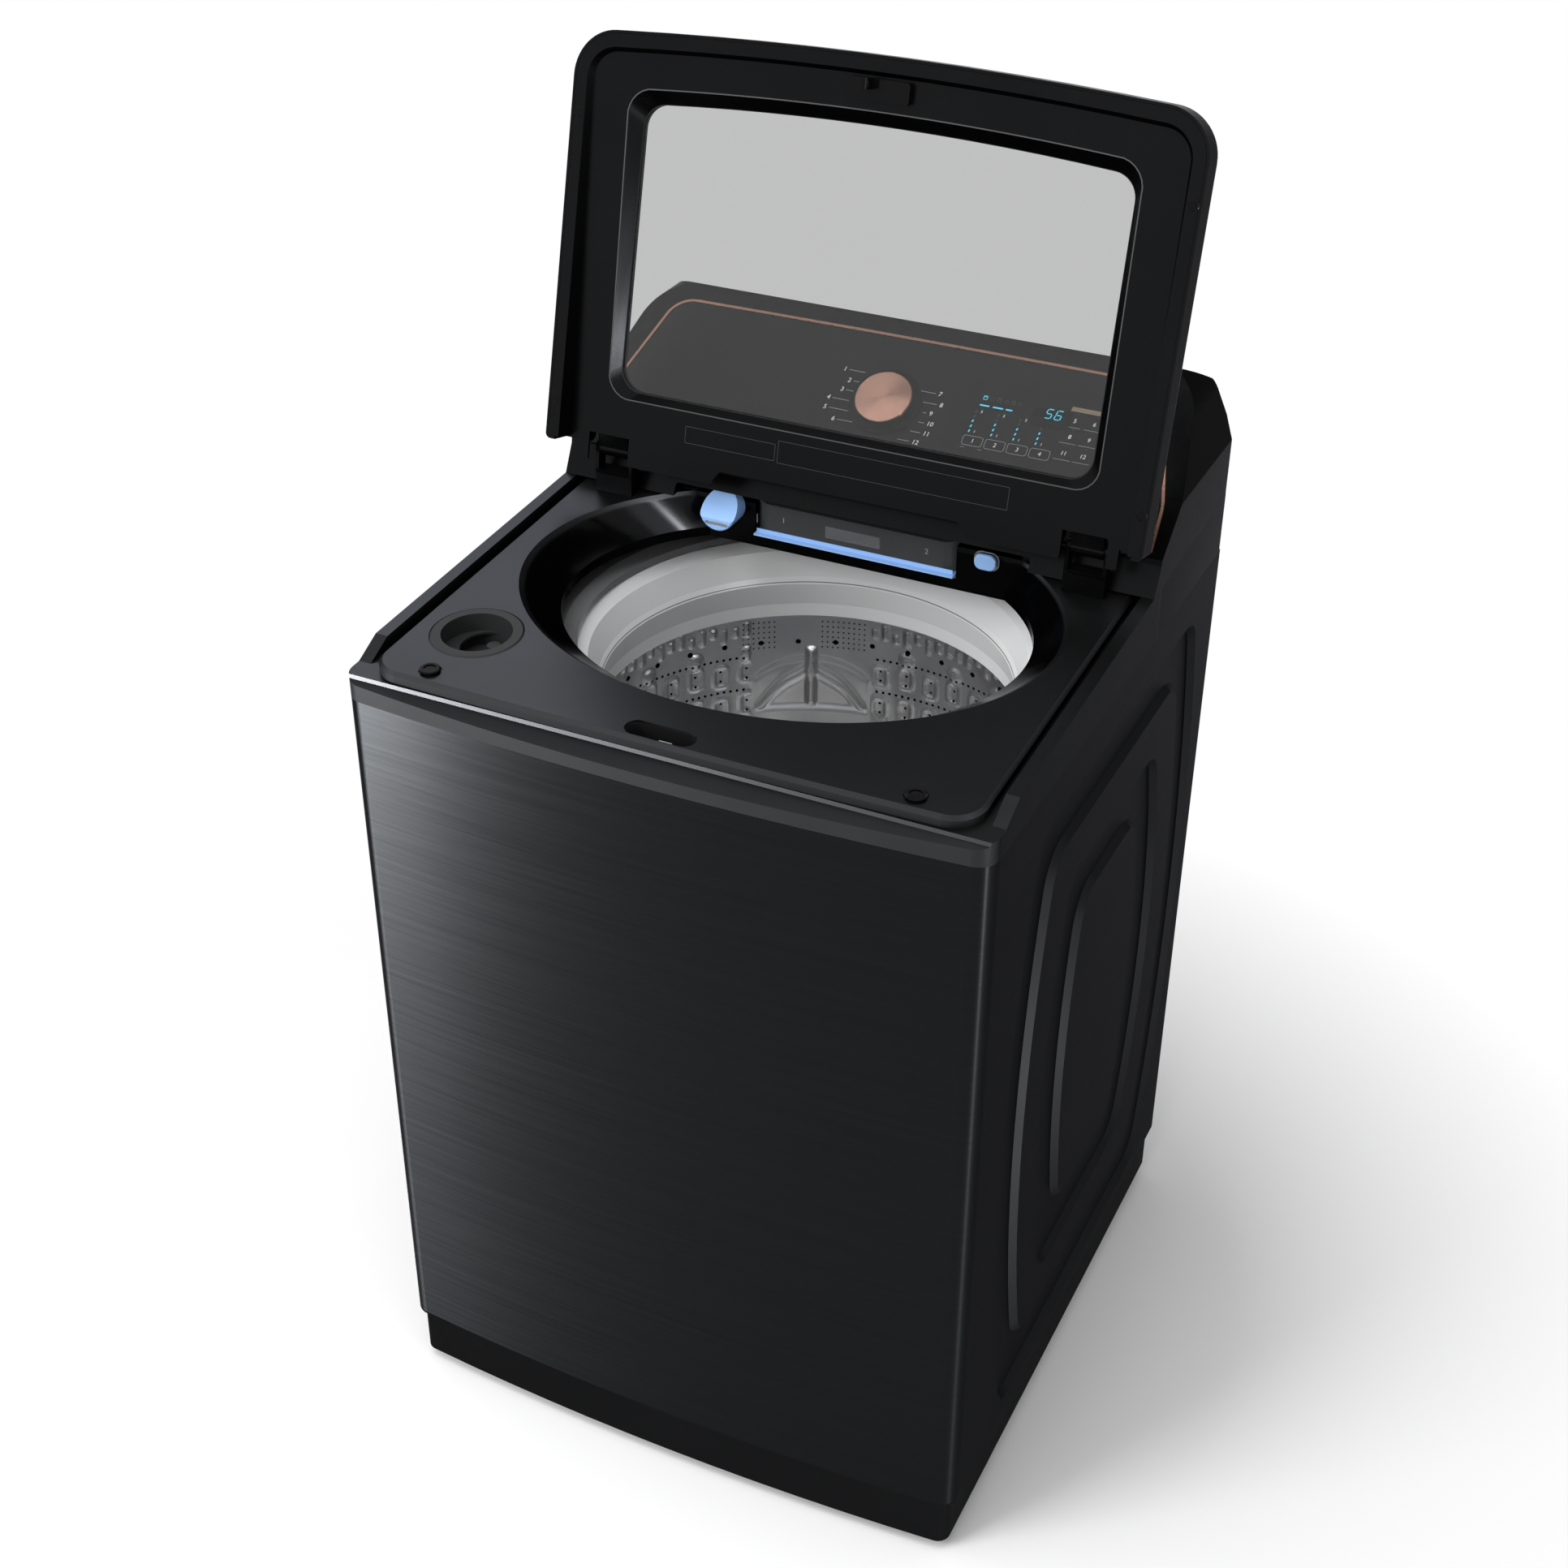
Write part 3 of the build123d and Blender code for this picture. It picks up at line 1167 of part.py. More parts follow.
panel_y = side_y - sheet
panel_half = half_width - rear_corner_radius - gap
panel_top = steel_top - cover_skirt - gap
beads = [(0, 300.0, 500.0, 250.0), (0, 640.0, 500.0, 250.0)]
with BuildPart() as rear_panel:
    with BuildSketch(Plane.XZ.offset(-panel_y)):
        with Locations((0, (rear_panel_bottom + panel_top) / 2)):
            Rectangle(2 * panel_half, panel_top - rear_panel_bottom)
    extrude(amount=sheet)
    for x, z, width, height in beads:
        with BuildSketch(Plane.XZ.offset(-panel_y)):
            with Locations((x, z)):
                RectangleRounded(width, height, 40)
                RectangleRounded(width - 2 * bead_width, height - 2 * bead_width, 40 - bead_width,
                                 mode=Mode.SUBTRACT)
        extrude(amount=-bead_rise, taper=30)
    with BuildSketch(Plane.XZ.offset(-panel_y)):
        with Locations((outlet_x, outlet_z)):
            Circle(hose_radius + 2 * gap)
        with Locations((gland_x, gland_z)):
            Circle(gland_radius)
    extrude(amount=sheet, mode=Mode.SUBTRACT)
finish(rear_panel.part, "rear_panel")

with BuildPart() as cord_grommet:
    with BuildSketch(Plane.XZ.offset(-panel_y - 3)):
        with Locations((gland_x, gland_z)):
            Circle(gland_radius + 3)
    extrude(amount=3)
    with BuildSketch(Plane.XZ.offset(-panel_y)):
        with Locations((gland_x, gland_z)):
            Circle(gland_radius - fit_gap)
    extrude(amount=sheet + 6)
    with BuildSketch(Plane.XZ.offset(-panel_y - 3)):
        with Locations((gland_x, gland_z)):
            Circle(gland_radius - 6)
    extrude(amount=sheet + 10, mode=Mode.SUBTRACT)
finish(cord_grommet.part, "cord_grommet")

outlet_depth = panel_y - outlet_reach
with BuildPart() as drain_outlet:
    with BuildSketch(Plane.XZ.offset(-panel_y)):
        with Locations((outlet_x, outlet_z)):
            Circle(hose_radius + 8)
    extrude(amount=-3)
    with BuildLine() as elbow:
        FilletPolyline((outlet_x, panel_y + 14, outlet_z), (outlet_x, outlet_depth, outlet_z),
                       (outlet_x, outlet_depth, outlet_z - outlet_drop), radius=hose_radius + 1)
    with BuildSketch(Plane.XZ.offset(-panel_y - 14)):
        with Locations((outlet_x, outlet_z)):
            Circle(hose_radius)
    sweep()
    with BuildSketch(Plane.XZ.offset(-panel_y - 14)):
        with Locations((outlet_x, outlet_z)):
            Circle(hose_radius - hose_wall)
    extrude(amount=40, mode=Mode.SUBTRACT)
finish(drain_outlet.part, "drain_outlet")

# ---------------------------------------------------------------- suspension
rod_spots = [(x, y) for x in (-rod_x, rod_x) for y in (-rod_y, rod_y)]
with BuildPart() as suspension_gussets:
    with BuildSketch(Plane.XY.offset(gusset_level)):
        for side_x in (-1, 1):
            for side_back in (-1, 1):
                corner = (side_x * (half_width - sheet), side_back * (side_y - 2 * sheet))
                with BuildLine():
                    Polyline((corner[0], corner[1] - side_back * gusset_clip),
                             (corner[0] - side_x * gusset_clip, corner[1]),
                             (corner[0] - side_x * gusset_reach, corner[1]),
                             (corner[0], corner[1] - side_back * gusset_reach), close=True)
                make_face()
        with Locations(*rod_spots):
            Circle(rod_radius + 2 * gap, mode=Mode.SUBTRACT)
    extrude(amount=gusset_thickness)
finish(suspension_gussets.part, "suspension_gussets")

with BuildPart() as suspension_rods:
    for x, y in rod_spots:
        with BuildSketch(Plane.XY.offset(damper_top - rod_engagement)):
            with Locations((x, y)):
                Circle(rod_radius)
        extrude(amount=gusset_level + gusset_thickness - damper_top + rod_engagement)
        with BuildSketch(Plane.XY.offset(gusset_level + gusset_thickness)):
            with Locations((x, y)):
                Circle(rod_radius + 7)
        extrude(amount=10, taper=25)
finish(suspension_rods.part, "suspension_rods")

with BuildPart() as suspension_cups:
    for x, y in rod_spots:
        with BuildSketch(Plane.XY.offset(damper_top - damper_height)):
            with Locations((x, y)):
                Circle(cup_radius)
        extrude(amount=damper_height)
        with BuildSketch(Plane.XY.offset(damper_top)):
            with Locations((x, y)):
                Circle(rod_radius + running_gap)
        extrude(amount=-rod_engagement - tub_travel_up - 12, mode=Mode.SUBTRACT)
finish(suspension_cups.part, "suspension_cups")

# ---------------------------------------------------------------- tub
with BuildPart() as outer_tub:
    with BuildSketch(Plane.XZ):
        with BuildLine():
            Polyline((hub_radius, tub_floor_z), (tub_radius, tub_floor_z), (tub_radius, tub_top_z),
                     (tub_radius - tub_wall, tub_top_z), (tub_radius - tub_wall, tub_floor_z + 2 * tub_wall),
                     (hub_radius + 60, tub_floor_z + 2 * tub_wall), (hub_radius + 30, tub_floor_z + tub_wall),
                     (hub_radius, tub_floor_z + tub_wall), close=True)
        make_face()
    revolve(axis=Axis.Z)
    # lugs that hold the damper cups
    with BuildSketch(Plane.XY.offset(damper_top - 40)):
        for angle in (45, 135, 225, 315):
            reach = hypot(rod_x, rod_y)
            with Locations(Location((0, 0, 0), (0, 0, angle))):
                with Locations(((tub_radius - 1 + reach) / 2, 0)):
                    Rectangle(reach - tub_radius + 1, 2 * cup_radius)
        Circle(tub_radius - 1, mode=Mode.SUBTRACT)
        with Locations(*rod_spots):
            Circle(cup_radius, mode=Mode.SUBTRACT)
    extrude(amount=30)
    # sump outlet
    with BuildSketch(Plane.XY.offset(tub_floor_z - 2)):
        with Locations((pump_x, pump_y)):
            Circle(24)
    extrude(amount=2 + tub_wall)
    with BuildSketch(Plane.XY.offset(tub_floor_z - 3)):
        with Locations((pump_x, pump_y)):
            Circle(16)
    extrude(amount=4 * tub_wall, mode=Mode.SUBTRACT)
finish(outer_tub.part, "outer_tub")

with BuildPart() as tub_cover:
    with BuildSketch(Plane.XZ):
        with BuildLine():
            Polyline((tub_radius - tub_wall, tub_top_z), (tub_radius + 4, tub_top_z),
                     (tub_radius + 4, tub_top_z + 12), (tub_radius - 10, cover_top_z - 8),
                     (cover_inner_radius + 16, cover_top_z), (cover_inner_radius, cover_top_z - 5),
                     (cover_inner_radius, cover_top_z - 13), (cover_inner_radius + 14, cover_top_z - 4),
                     (tub_radius - 12, cover_top_z - 12), (tub_radius - tub_wall, tub_top_z + 8), close=True)
        make_face()
    revolve(axis=Axis.Z)
finish(tub_cover.part, "tub_cover")

with BuildPart() as bearing_housing:
    with BuildSketch(Plane.XZ):
        with BuildLine():
            Polyline((bearing_outer_radius, tub_floor_z + tub_wall), (hub_radius, tub_floor_z + tub_wall),
                     (hub_radius, tub_floor_z), (hub_radius + 70, tub_floor_z),
                     (hub_radius + 70, tub_floor_z - 6), (hub_radius - 5, tub_floor_z - 12),
                     (bearing_outer_radius + 12, tub_floor_z - 26), (bearing_outer_radius + 12, stator_top + 8),
                     (hub_radius, stator_top + 6), (hub_radius, stator_top),
                     (bearing_outer_radius, stator_top), close=True)
        make_face()
    revolve(axis=Axis.Z)
    with BuildSketch(Plane.XZ):
        with BuildLine():
            Polyline((spin_tube_radius + 6, stator_top), (bearing_outer_radius, stator_top),
                     (bearing_outer_radius, stator_top + 4), (spin_tube_radius + 6, stator_top + 4), close=True)
        make_face()
    revolve(axis=Axis.Z)
finish(bearing_housing.part, "bearing_housing")

bearing_levels = [stator_top + 4, tub_floor_z - 16]
with BuildPart() as bearings:
    for level in bearing_levels:
        with BuildSketch(Plane.XY.offset(level)):
            Circle(bearing_outer_radius)
            Circle(spin_tube_radius + fit_gap, mode=Mode.SUBTRACT)
        extrude(amount=bearing_height)
finish(bearings.part, "bearings")

with BuildPart() as shaft_seal:
    with BuildSketch(Plane.XY.offset(bearing_levels[1] + bearing_height)):
        Circle(bearing_outer_radius)
        Circle(spin_tube_radius + fit_gap, mode=Mode.SUBTRACT)
    extrude(amount=4)
finish(shaft_seal.part, "shaft_seal")

with BuildPart() as motor_stator:
    with BuildSketch(Plane.XY.offset(stator_top - stator_height)):
        Circle(stator_radius - 26)
        with PolarLocations(stator_radius - 18, stator_teeth):
            Rectangle(24, 12)
        with PolarLocations(stator_radius - 4, stator_teeth):
            Rectangle(6, 26)
        Circle(bearing_outer_radius + 16, mode=Mode.SUBTRACT)
    extrude(amount=stator_height)
finish(motor_stator.part, "motor_stator")

# ---------------------------------------------------------------- drum
with BuildPart() as drum_shell:
    with BuildSketch(Plane.XY.offset(drum_floor_z)):
        Circle(drum_radius)
        Circle(drum_radius - drum_wall, mode=Mode.SUBTRACT)
    extrude(amount=drum_top_z - drum_floor_z)
    with BuildSketch(Plane.XY.offset(drum_floor_z)):
        Circle(drum_radius)
        Circle(drum_radius - 8, mode=Mode.SUBTRACT)
    extrude(amount=-drum_wall)
finish(drum_shell.part, "drum_shell")

with BuildPart() as drum_base:
    with BuildSketch(Plane.XZ):
        with BuildLine():
            Polyline((spin_tube_radius + fit_gap, drum_floor_z + base_sheet),
                     (drum_radius - drum_wall - fit_gap, drum_floor_z + base_sheet),
                     (drum_radius - drum_wall - fit_gap, drum_floor_z), (hub_radius + 20, drum_floor_z),
                     (hub_radius, drum_floor_z - 6), (spin_tube_radius + 12, drum_floor_z - 22),
                     (spin_tube_radius + fit_gap, drum_floor_z - 22), close=True)
        make_face()
    revolve(axis=Axis.Z)
    # radial ribs of the hub
    with BuildSketch(Plane.XY.offset(drum_floor_z + base_sheet / 2)):
        with PolarLocations(0, 6):
            with Locations((drum_radius / 2, 0)):
                Rectangle(drum_radius - 60, 10)
        Circle(spin_tube_radius + 6, mode=Mode.SUBTRACT)
    extrude(amount=-base_sheet / 2 - 6)
finish(drum_base.part, "drum_base")

with BuildPart() as balance_ring:
    with BuildSketch(Plane.XZ):
        with BuildLine():
            Polyline((ring_lower_radius, ring_bottom_z), (drum_radius - drum_wall - fit_gap, ring_bottom_z),
                     (drum_radius - drum_wall - fit_gap, drum_top_z), (drum_radius + 4, drum_top_z),
                     (drum_radius + 4, drum_top_z + 6), (drum_radius - 8, ring_top_z),
                     (ring_top_radius + 12, ring_top_z), (ring_top_radius, ring_top_z - 10),
                     (ring_step_radius + 4, ring_step_z + 8), (ring_step_radius, ring_step_z),
                     (ring_step_radius + 2, ring_step_z - 8), (ring_lower_radius, ring_bottom_z + 16),
                     close=True)
        make_face()
    revolve(axis=Axis.Z)
finish(balance_ring.part, "balance_ring")

with BuildPart() as spin_shaft:
    with BuildSketch(Plane.XY.offset(spin_bottom)):
        Circle(spin_tube_radius)
        Circle(shaft_radius + fit_gap, mode=Mode.SUBTRACT)
    extrude(amount=drum_floor_z + base_sheet - spin_bottom)
finish(spin_shaft.part, "spin_shaft")

# ---------------------------------------------------------------- wash plate and motor rotor
plate_z = drum_floor_z + base_sheet + 3
with BuildPart() as pulsator:
    with BuildSketch(Plane.XZ):
        with BuildLine():
            skirt = Line((shaft_radius - 2, plate_z), (pulsator_radius, plate_z))
            lip = Line(skirt @ 1, (pulsator_radius, plate_z + 5))
            dish = ThreePointArc(lip @ 1, (pulsator_radius / 2 + 20, plate_z + 12), (48, plate_z + 26))
            dome = ThreePointArc(dish @ 1, (34, plate_z + 46), (6, plate_z + 52))
            Polyline(dome @ 1, (0, plate_z + 52), (0, plate_z + 30), (shaft_radius - 2, plate_z + 30), skirt @ 0)
        make_face()
    revolve(axis=Axis.Z)
    with BuildSketch(Plane.XY.offset(plate_z + 1)):
        with PolarLocations(0, pulsator_vanes):
            with Locations((pulsator_radius / 2, 0)):
                SlotOverall(pulsator_radius - 30, 18)
    extrude(amount=vane_height)
finish(pulsator.part, "pulsator")

with BuildPart() as wash_shaft:
    with BuildSketch(Plane.XY.offset(rotor_bottom + rotor_wall)):
        Circle(shaft_radius)
    extrude(amount=plate_z - rotor_bottom - rotor_wall)
    with BuildSketch(Plane.XY.offset(plate_z)):
        Circle(shaft_radius - 2 - fit_gap)
    extrude(amount=30)
finish(wash_shaft.part, "wash_shaft")

with BuildPart() as motor_rotor:
    with BuildSketch(Plane.XY.offset(rotor_bottom)):
        Circle(rotor_radius)
    extrude(amount=rotor_wall)
    with BuildSketch(Plane.XY.offset(rotor_bottom + rotor_wall)):
        Circle(rotor_radius)
        Circle(rotor_radius - 3 * rotor_wall, mode=Mode.SUBTRACT)
    extrude(amount=stator_height + 20)
    with BuildSketch(Plane.XY.offset(rotor_bottom)):
        with PolarLocations(rotor_radius / 2 + 16, 6):
            SlotOverall(44, 16)
    extrude(amount=rotor_wall, mode=Mode.SUBTRACT)
finish(motor_rotor.part, "motor_rotor")

# ---------------------------------------------------------------- pump and hoses
pump_top = tub_floor_z - 2
with BuildPart() as drain_pump:
    with BuildSketch(Plane.XY.offset(pump_top)):
        with Locations((pump_x, pump_y)):
            Circle(18)
    extrude(amount=-18)
    with BuildSketch(Plane.XY.offset(pump_top - 18)):
        with Locations((pump_x, pump_y)):
            Circle(pump_radius)
    extrude(amount=-pump_height)
    with BuildSketch(Plane.XY.offset(pump_top)):
        with Locations((pump_x, pump_y)):
            Circle(15)
    extrude(amount=-18 - wall, mode=Mode.SUBTRACT)
    with BuildSketch(Plane.XY.offset(pump_top - 18 - wall)):
        with Locations((pump_x, pump_y)):
            Circle(pump_radius - wall)
    extrude(amount=-impeller_height - 2 * gap, mode=Mode.SUBTRACT)
    with BuildSketch(Plane.XY.offset(pump_top - 18 - wall)):
        with Locations((pump_x, pump_y)):
            Circle(impeller_pin_radius + fit_gap)
    extrude(amount=-impeller_height - 10, mode=Mode.SUBTRACT)
    with BuildSketch(pump_mouth):
        Circle(hose_radius - hose_wall - fit_gap)
    extrude(amount=-pump_spigot)
    with BuildSketch(pump_mouth):
        Circle(hose_radius - 2 * hose_wall)
    extrude(amount=-pump_spigot - 6, mode=Mode.SUBTRACT)
finish(drain_pump.part, "drain_pump")

with BuildPart() as pump_impeller:
    with BuildSketch(Plane.XY.offset(pump_top - 18 - wall - gap)):
        with Locations((pump_x, pump_y)):
            Circle(8)
            with PolarLocations(14, 6):
                Rectangle(24, 3)
    extrude(amount=-impeller_height)
    with BuildSketch(Plane.XY.offset(pump_top - 18 - wall - gap)):
        with Locations((pump_x, pump_y)):
            Circle(impeller_pin_radius)
    extrude(amount=-impeller_height - 2 * gap - 5)
finish(pump_impeller.part, "pump_impeller")


def hose(points, radius):
    """Round tube through the points: straight runs joined by the largest tangent arcs the runs allow."""
    stops = [Vector(*point) for point in points]
    radii = []
    for before, here, after in zip(stops, stops[1:], stops[2:]):
        half_turn = radians((here - before).get_angle(after - here)) / 2
        radii.append(0.45 * min((here - before).length, (after - here).length) / tan(half_turn))
    with BuildPart() as tube:
        with BuildLine():
            route = FilletPolyline(*stops, radius=radii)
        with BuildSketch(Plane(origin=stops[0], z_dir=stops[1] - stops[0])):
            Circle(radius)
        sweep(path=route)
    print("hose radii", [round(value) for value in radii],
          "volume ratio", round(tube.part.volume / (pi * radius ** 2 * route.length), 4))
    return tube.part


finish(hose([tuple(pump_mouth.origin), (pump_x, outlet_depth - 2, tub_floor_z - 32),
             (pump_x + 8, outlet_depth, 380), (pump_x + 18, outlet_depth + 1, 500),
             (outlet_x - 4, outlet_depth + 1, 620), (outlet_x, outlet_depth, 735),
             (outlet_x, outlet_depth, outlet_z - outlet_drop)], hose_radius), "drain_hose")

fill_start = (valve_x - thread_spacing / 2, console_back_y - console_wall - valve_depth + gap - 16, valve_z)
finish(hose([fill_start, (fill_start[0], fill_start[1] - 62, valve_z),
             (inlet_x + 75, fill_start[1] - 70, valve_z + 14), (inlet_x, inlet_y, valve_z + 30),
             (inlet_x, inlet_y, housing_high - housing_wall + 14)], hose_radius - hose_wall), "fill_hose")

with BuildPart() as pressure_switch:
    with BuildSketch(Plane.XZ.offset(-console_back_y + console_wall)):
        with Locations((switch_x, switch_z)):
            Circle(27)
    extrude(amount=12)
    with BuildSketch(Plane.XZ.offset(-console_back_y + console_wall + 12)):
        with Locations((switch_x, switch_z)):
            Circle(21)
        with Locations((switch_x, switch_z - 22)):
            Rectangle(16, 14)
    extrude(amount=14)
    with BuildSketch(Plane.XZ.offset(-console_back_y + console_wall + 26)):
        with Locations((switch_x, switch_z)):
            Circle(3)
    extrude(amount=10)
finish(pressure_switch.part, "pressure_switch")
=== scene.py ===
"""Top load washing machine: finishes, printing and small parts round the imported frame.

Pieces are drawn in millimetres."""
import bmesh
import bpy
import json
from math import atan2, copysign, cos, exp, pi, radians, sin
from mathutils import Matrix, Vector


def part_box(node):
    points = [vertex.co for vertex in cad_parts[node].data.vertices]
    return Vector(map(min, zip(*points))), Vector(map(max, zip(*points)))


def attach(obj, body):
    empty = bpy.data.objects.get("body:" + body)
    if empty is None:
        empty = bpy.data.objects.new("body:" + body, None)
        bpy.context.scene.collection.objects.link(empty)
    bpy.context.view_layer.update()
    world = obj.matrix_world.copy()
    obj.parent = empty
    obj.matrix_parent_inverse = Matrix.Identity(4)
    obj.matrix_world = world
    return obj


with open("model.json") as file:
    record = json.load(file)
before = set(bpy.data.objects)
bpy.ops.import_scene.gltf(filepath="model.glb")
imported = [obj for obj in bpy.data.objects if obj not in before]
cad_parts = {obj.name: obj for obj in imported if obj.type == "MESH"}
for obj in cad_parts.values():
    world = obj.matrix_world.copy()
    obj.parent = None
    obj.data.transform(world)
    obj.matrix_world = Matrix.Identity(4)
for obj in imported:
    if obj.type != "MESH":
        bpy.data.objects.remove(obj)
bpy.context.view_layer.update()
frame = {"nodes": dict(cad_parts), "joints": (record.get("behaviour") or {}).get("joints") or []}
scene = bpy.context.scene
scene.view_settings.view_transform = "Standard"
mm = 0.001

# ---------------------------------------------------------------- camera and lamps
camera_place = Vector((0.91165, -1.96562, 2.11665))
camera_yaw, camera_pitch, camera_roll = radians(25.543), radians(32.689), radians(0.259)


def place_camera():
    """Camera above the machine's right front corner."""
    look = Vector((-sin(camera_yaw) * cos(camera_pitch), cos(camera_yaw) * cos(camera_pitch),
                   -sin(camera_pitch)))
    level = Vector((cos(camera_yaw), sin(camera_yaw), 0))
    upright = level.cross(look)
    right = level * cos(camera_roll) + upright * sin(camera_roll)
    up = upright * cos(camera_roll) - level * sin(camera_roll)
    lens = bpy.data.cameras.new("camera")
    lens.lens, lens.sensor_width = 52.791, 36.0
    holder = bpy.data.objects.new("camera", lens)
    scene.collection.objects.link(holder)
    turn = Matrix((right, up, -look)).transposed().to_4x4()
    holder.matrix_world = Matrix.Translation(camera_place) @ turn
    scene.camera = holder


def soft_lamp(name, place, aim, size, power, glossy_only=False, mirrored=True, through_glass=True,
              shown_on=()):
    """Rectangular soft lamp turned to a point; it may be a sheen only, and may show on some pieces only."""
    lamp = bpy.data.lights.new(name, "AREA")
    lamp.shape, lamp.size, lamp.size_y = "RECTANGLE", size[0], size[1]
    lamp.energy = power
    holder = bpy.data.objects.new(name, lamp)
    scene.collection.objects.link(holder)
    holder.visible_transmission = through_glass
    holder.visible_diffuse, holder.visible_glossy, holder.visible_camera = not glossy_only, mirrored, False
    if shown_on:
        receivers = bpy.data.collections.new(name)
        for piece_name in shown_on:
            receivers.objects.link(frame["nodes"].get(piece_name) or bpy.data.objects[piece_name])
        holder.light_linking.receiver_collection = receivers
    away = Vector(place) - Vector(aim)
    holder.matrix_world = Matrix.Translation(place) @ away.to_track_quat("Z", "Y").to_matrix().to_4x4()


# ---------------------------------------------------------------- node helpers
def node(tree, kind, feeds=None, **settings):
    """A shader node with its settings, and its inputs linked or set."""
    made = tree.nodes.new("ShaderNode" + kind)
    for key, value in settings.items():
        setattr(made, key, value)
    for key, value in (feeds or {}).items():
        if isinstance(value, bpy.types.NodeSocket):
            tree.links.new(value, made.inputs[key])
        else:
            made.inputs[key].default_value = value
    return made


def sum_of(tree, operation, first, second=0.0, third=0.0, clamp=False):
    """One Math node's result."""
    made = node(tree, "Math", {0: first, 1: second, 2: third}, operation=operation, use_clamp=clamp)
    return made.outputs[0]


def blend_of(tree, share, low, high):
    """A colour between two colours, by a share."""
    made = node(tree, "Mix", {"Factor": share}, data_type="RGBA")
    for socket, value in ((made.inputs[6], low), (made.inputs[7], high)):
        if isinstance(value, bpy.types.NodeSocket):
            tree.links.new(value, socket)
        else:
            socket.default_value = (*value, 1.0)
    return made.outputs[2]


def spread_of(tree, value, low, high, to_low=0.0, to_high=1.0):
    """A value moved from one range to another."""
    made = node(tree, "MapRange", {"Value": value, "From Min": low, "From Max": high,
                                   "To Min": to_low, "To Max": to_high})
    return made.outputs[0]


def speckle(tree, where, scale, detail=2.0, rough=0.5):
    """Noise value at a place."""
    return node(tree, "TexNoise", {"Vector": where, "Scale": scale, "Detail": detail,
                                   "Roughness": rough}).outputs[0]


def stretched(tree, scale, place=(0, 0, 0), turn=(0, 0, 0)):
    """Object coordinates, moved, turned and stretched."""
    start = node(tree, "TexCoord").outputs["Object"]
    return node(tree, "Mapping", {"Vector": start, "Location": place, "Rotation": turn,
                                  "Scale": scale}).outputs[0]


def finish(name, colour, rough, metal=0.0, gloss=0.5):
    """A new finish and its node tree and main shader."""
    made = bpy.data.materials.new(name)
    made.use_nodes = True
    main = made.node_tree.nodes["Principled BSDF"]
    main.inputs["Base Color"].default_value = (*colour, 1.0)
    main.inputs["Roughness"].default_value = rough
    main.inputs["Metallic"].default_value = metal
    main.inputs["Specular IOR Level"].default_value = gloss
    return made, made.node_tree, main


def darker(colour, share):
    """A colour scaled in strength."""
    return tuple(channel * share for channel in colour)


def relief(tree, main, height, depth, strength=1.0):
    """Bump of a given depth in metres."""
    bump = node(tree, "Bump", {"Height": height, "Distance": depth, "Strength": strength})
    tree.links.new(bump.outputs[0], main.inputs["Normal"])


def moulded(name, colour, rough, gloss=0.4, grain=0.00004, grain_scale=1500.0, drift=0.12, coat=0.0,
            metal=0.0):
    """Moulded plastic: slight drift of shade, fine grain, soft waviness; metal stands for its dark flake."""
    made, tree, main = finish(name, colour, rough, metal=metal, gloss=gloss)
    main.inputs["Specular Tint"].default_value = (0.3, 0.3, 0.31, 1.0) if metal else (1, 1, 1, 1)
    where = stretched(tree, (1, 1, 1))
    cloud = speckle(tree, where, 9.0, 3.0)
    fine = speckle(tree, where, grain_scale, 1.0)
    tree.links.new(blend_of(tree, cloud, darker(colour, 1 - drift), darker(colour, 1 + drift)),
                   main.inputs["Base Color"])
    tree.links.new(sum_of(tree, "ADD", spread_of(tree, cloud, 0, 1, rough - 0.04, rough + 0.04),
                          spread_of(tree, fine, 0, 1, -0.02, 0.02)), main.inputs["Roughness"])
    relief(tree, main, sum_of(tree, "ADD", sum_of(tree, "MULTIPLY", cloud, 0.4), fine), grain)
    main.inputs["Coat Weight"].default_value = coat
    main.inputs["Coat Roughness"].default_value = 0.08
    return made


def plain_metal(name, colour, rough, line=(60, 60, 60), depth=0.00002):
    """Bare metal with faint mill lines."""
    made, tree, main = finish(name, colour, rough, metal=1.0)
    marks = speckle(tree, stretched(tree, line), 6.0, 4.0, 0.6)
    shade = blend_of(tree, marks, darker(colour, 0.85), darker(colour, 1.1))
    tree.links.new(shade, main.inputs["Base Color"])
    tree.links.new(spread_of(tree, marks, 0, 1, rough - 0.07, rough + 0.09), main.inputs["Roughness"])
    relief(tree, main, marks, depth)
    return made


def printed(name, colour, rough=0.5, glow=0.0):
    """Printing ink with a fine unevenness; where a glow is given, the ink shines as painted light."""
    made, tree, main = finish(name, colour, rough, gloss=0.2)
    ink = speckle(tree, stretched(tree, (1, 1, 1)), 700.0, 2.0)
    tree.links.new(blend_of(tree, ink, darker(colour, 0.9), darker(colour, 1.08)), main.inputs["Base Color"])
    tree.links.new(spread_of(tree, ink, 0, 1, rough - 0.08, rough + 0.08), main.inputs["Roughness"])
    # painted light: the ink gives off its own colour as glow
    main.inputs["Emission Color"].default_value = (*colour, 1.0)
    main.inputs["Emission Strength"].default_value = glow
    relief(tree, main, ink, 0.000005)
    return made


def soft_rubber(name, colour, rough=0.7):
    """Rubber: matt, slightly dusty and pitted."""
    made, tree, main = finish(name, colour, rough, gloss=0.25)
    where = stretched(tree, (1, 1, 1))
    dust = speckle(tree, where, 40.0, 5.0, 0.65)
    tree.links.new(blend_of(tree, dust, darker(colour, 0.7), darker(colour, 1.5)), main.inputs["Base Color"])
    tree.links.new(spread_of(tree, dust, 0, 1, rough - 0.1, rough + 0.1), main.inputs["Roughness"])
    relief(tree, main, speckle(tree, where, 900.0, 2.0), 0.00008)
    return made


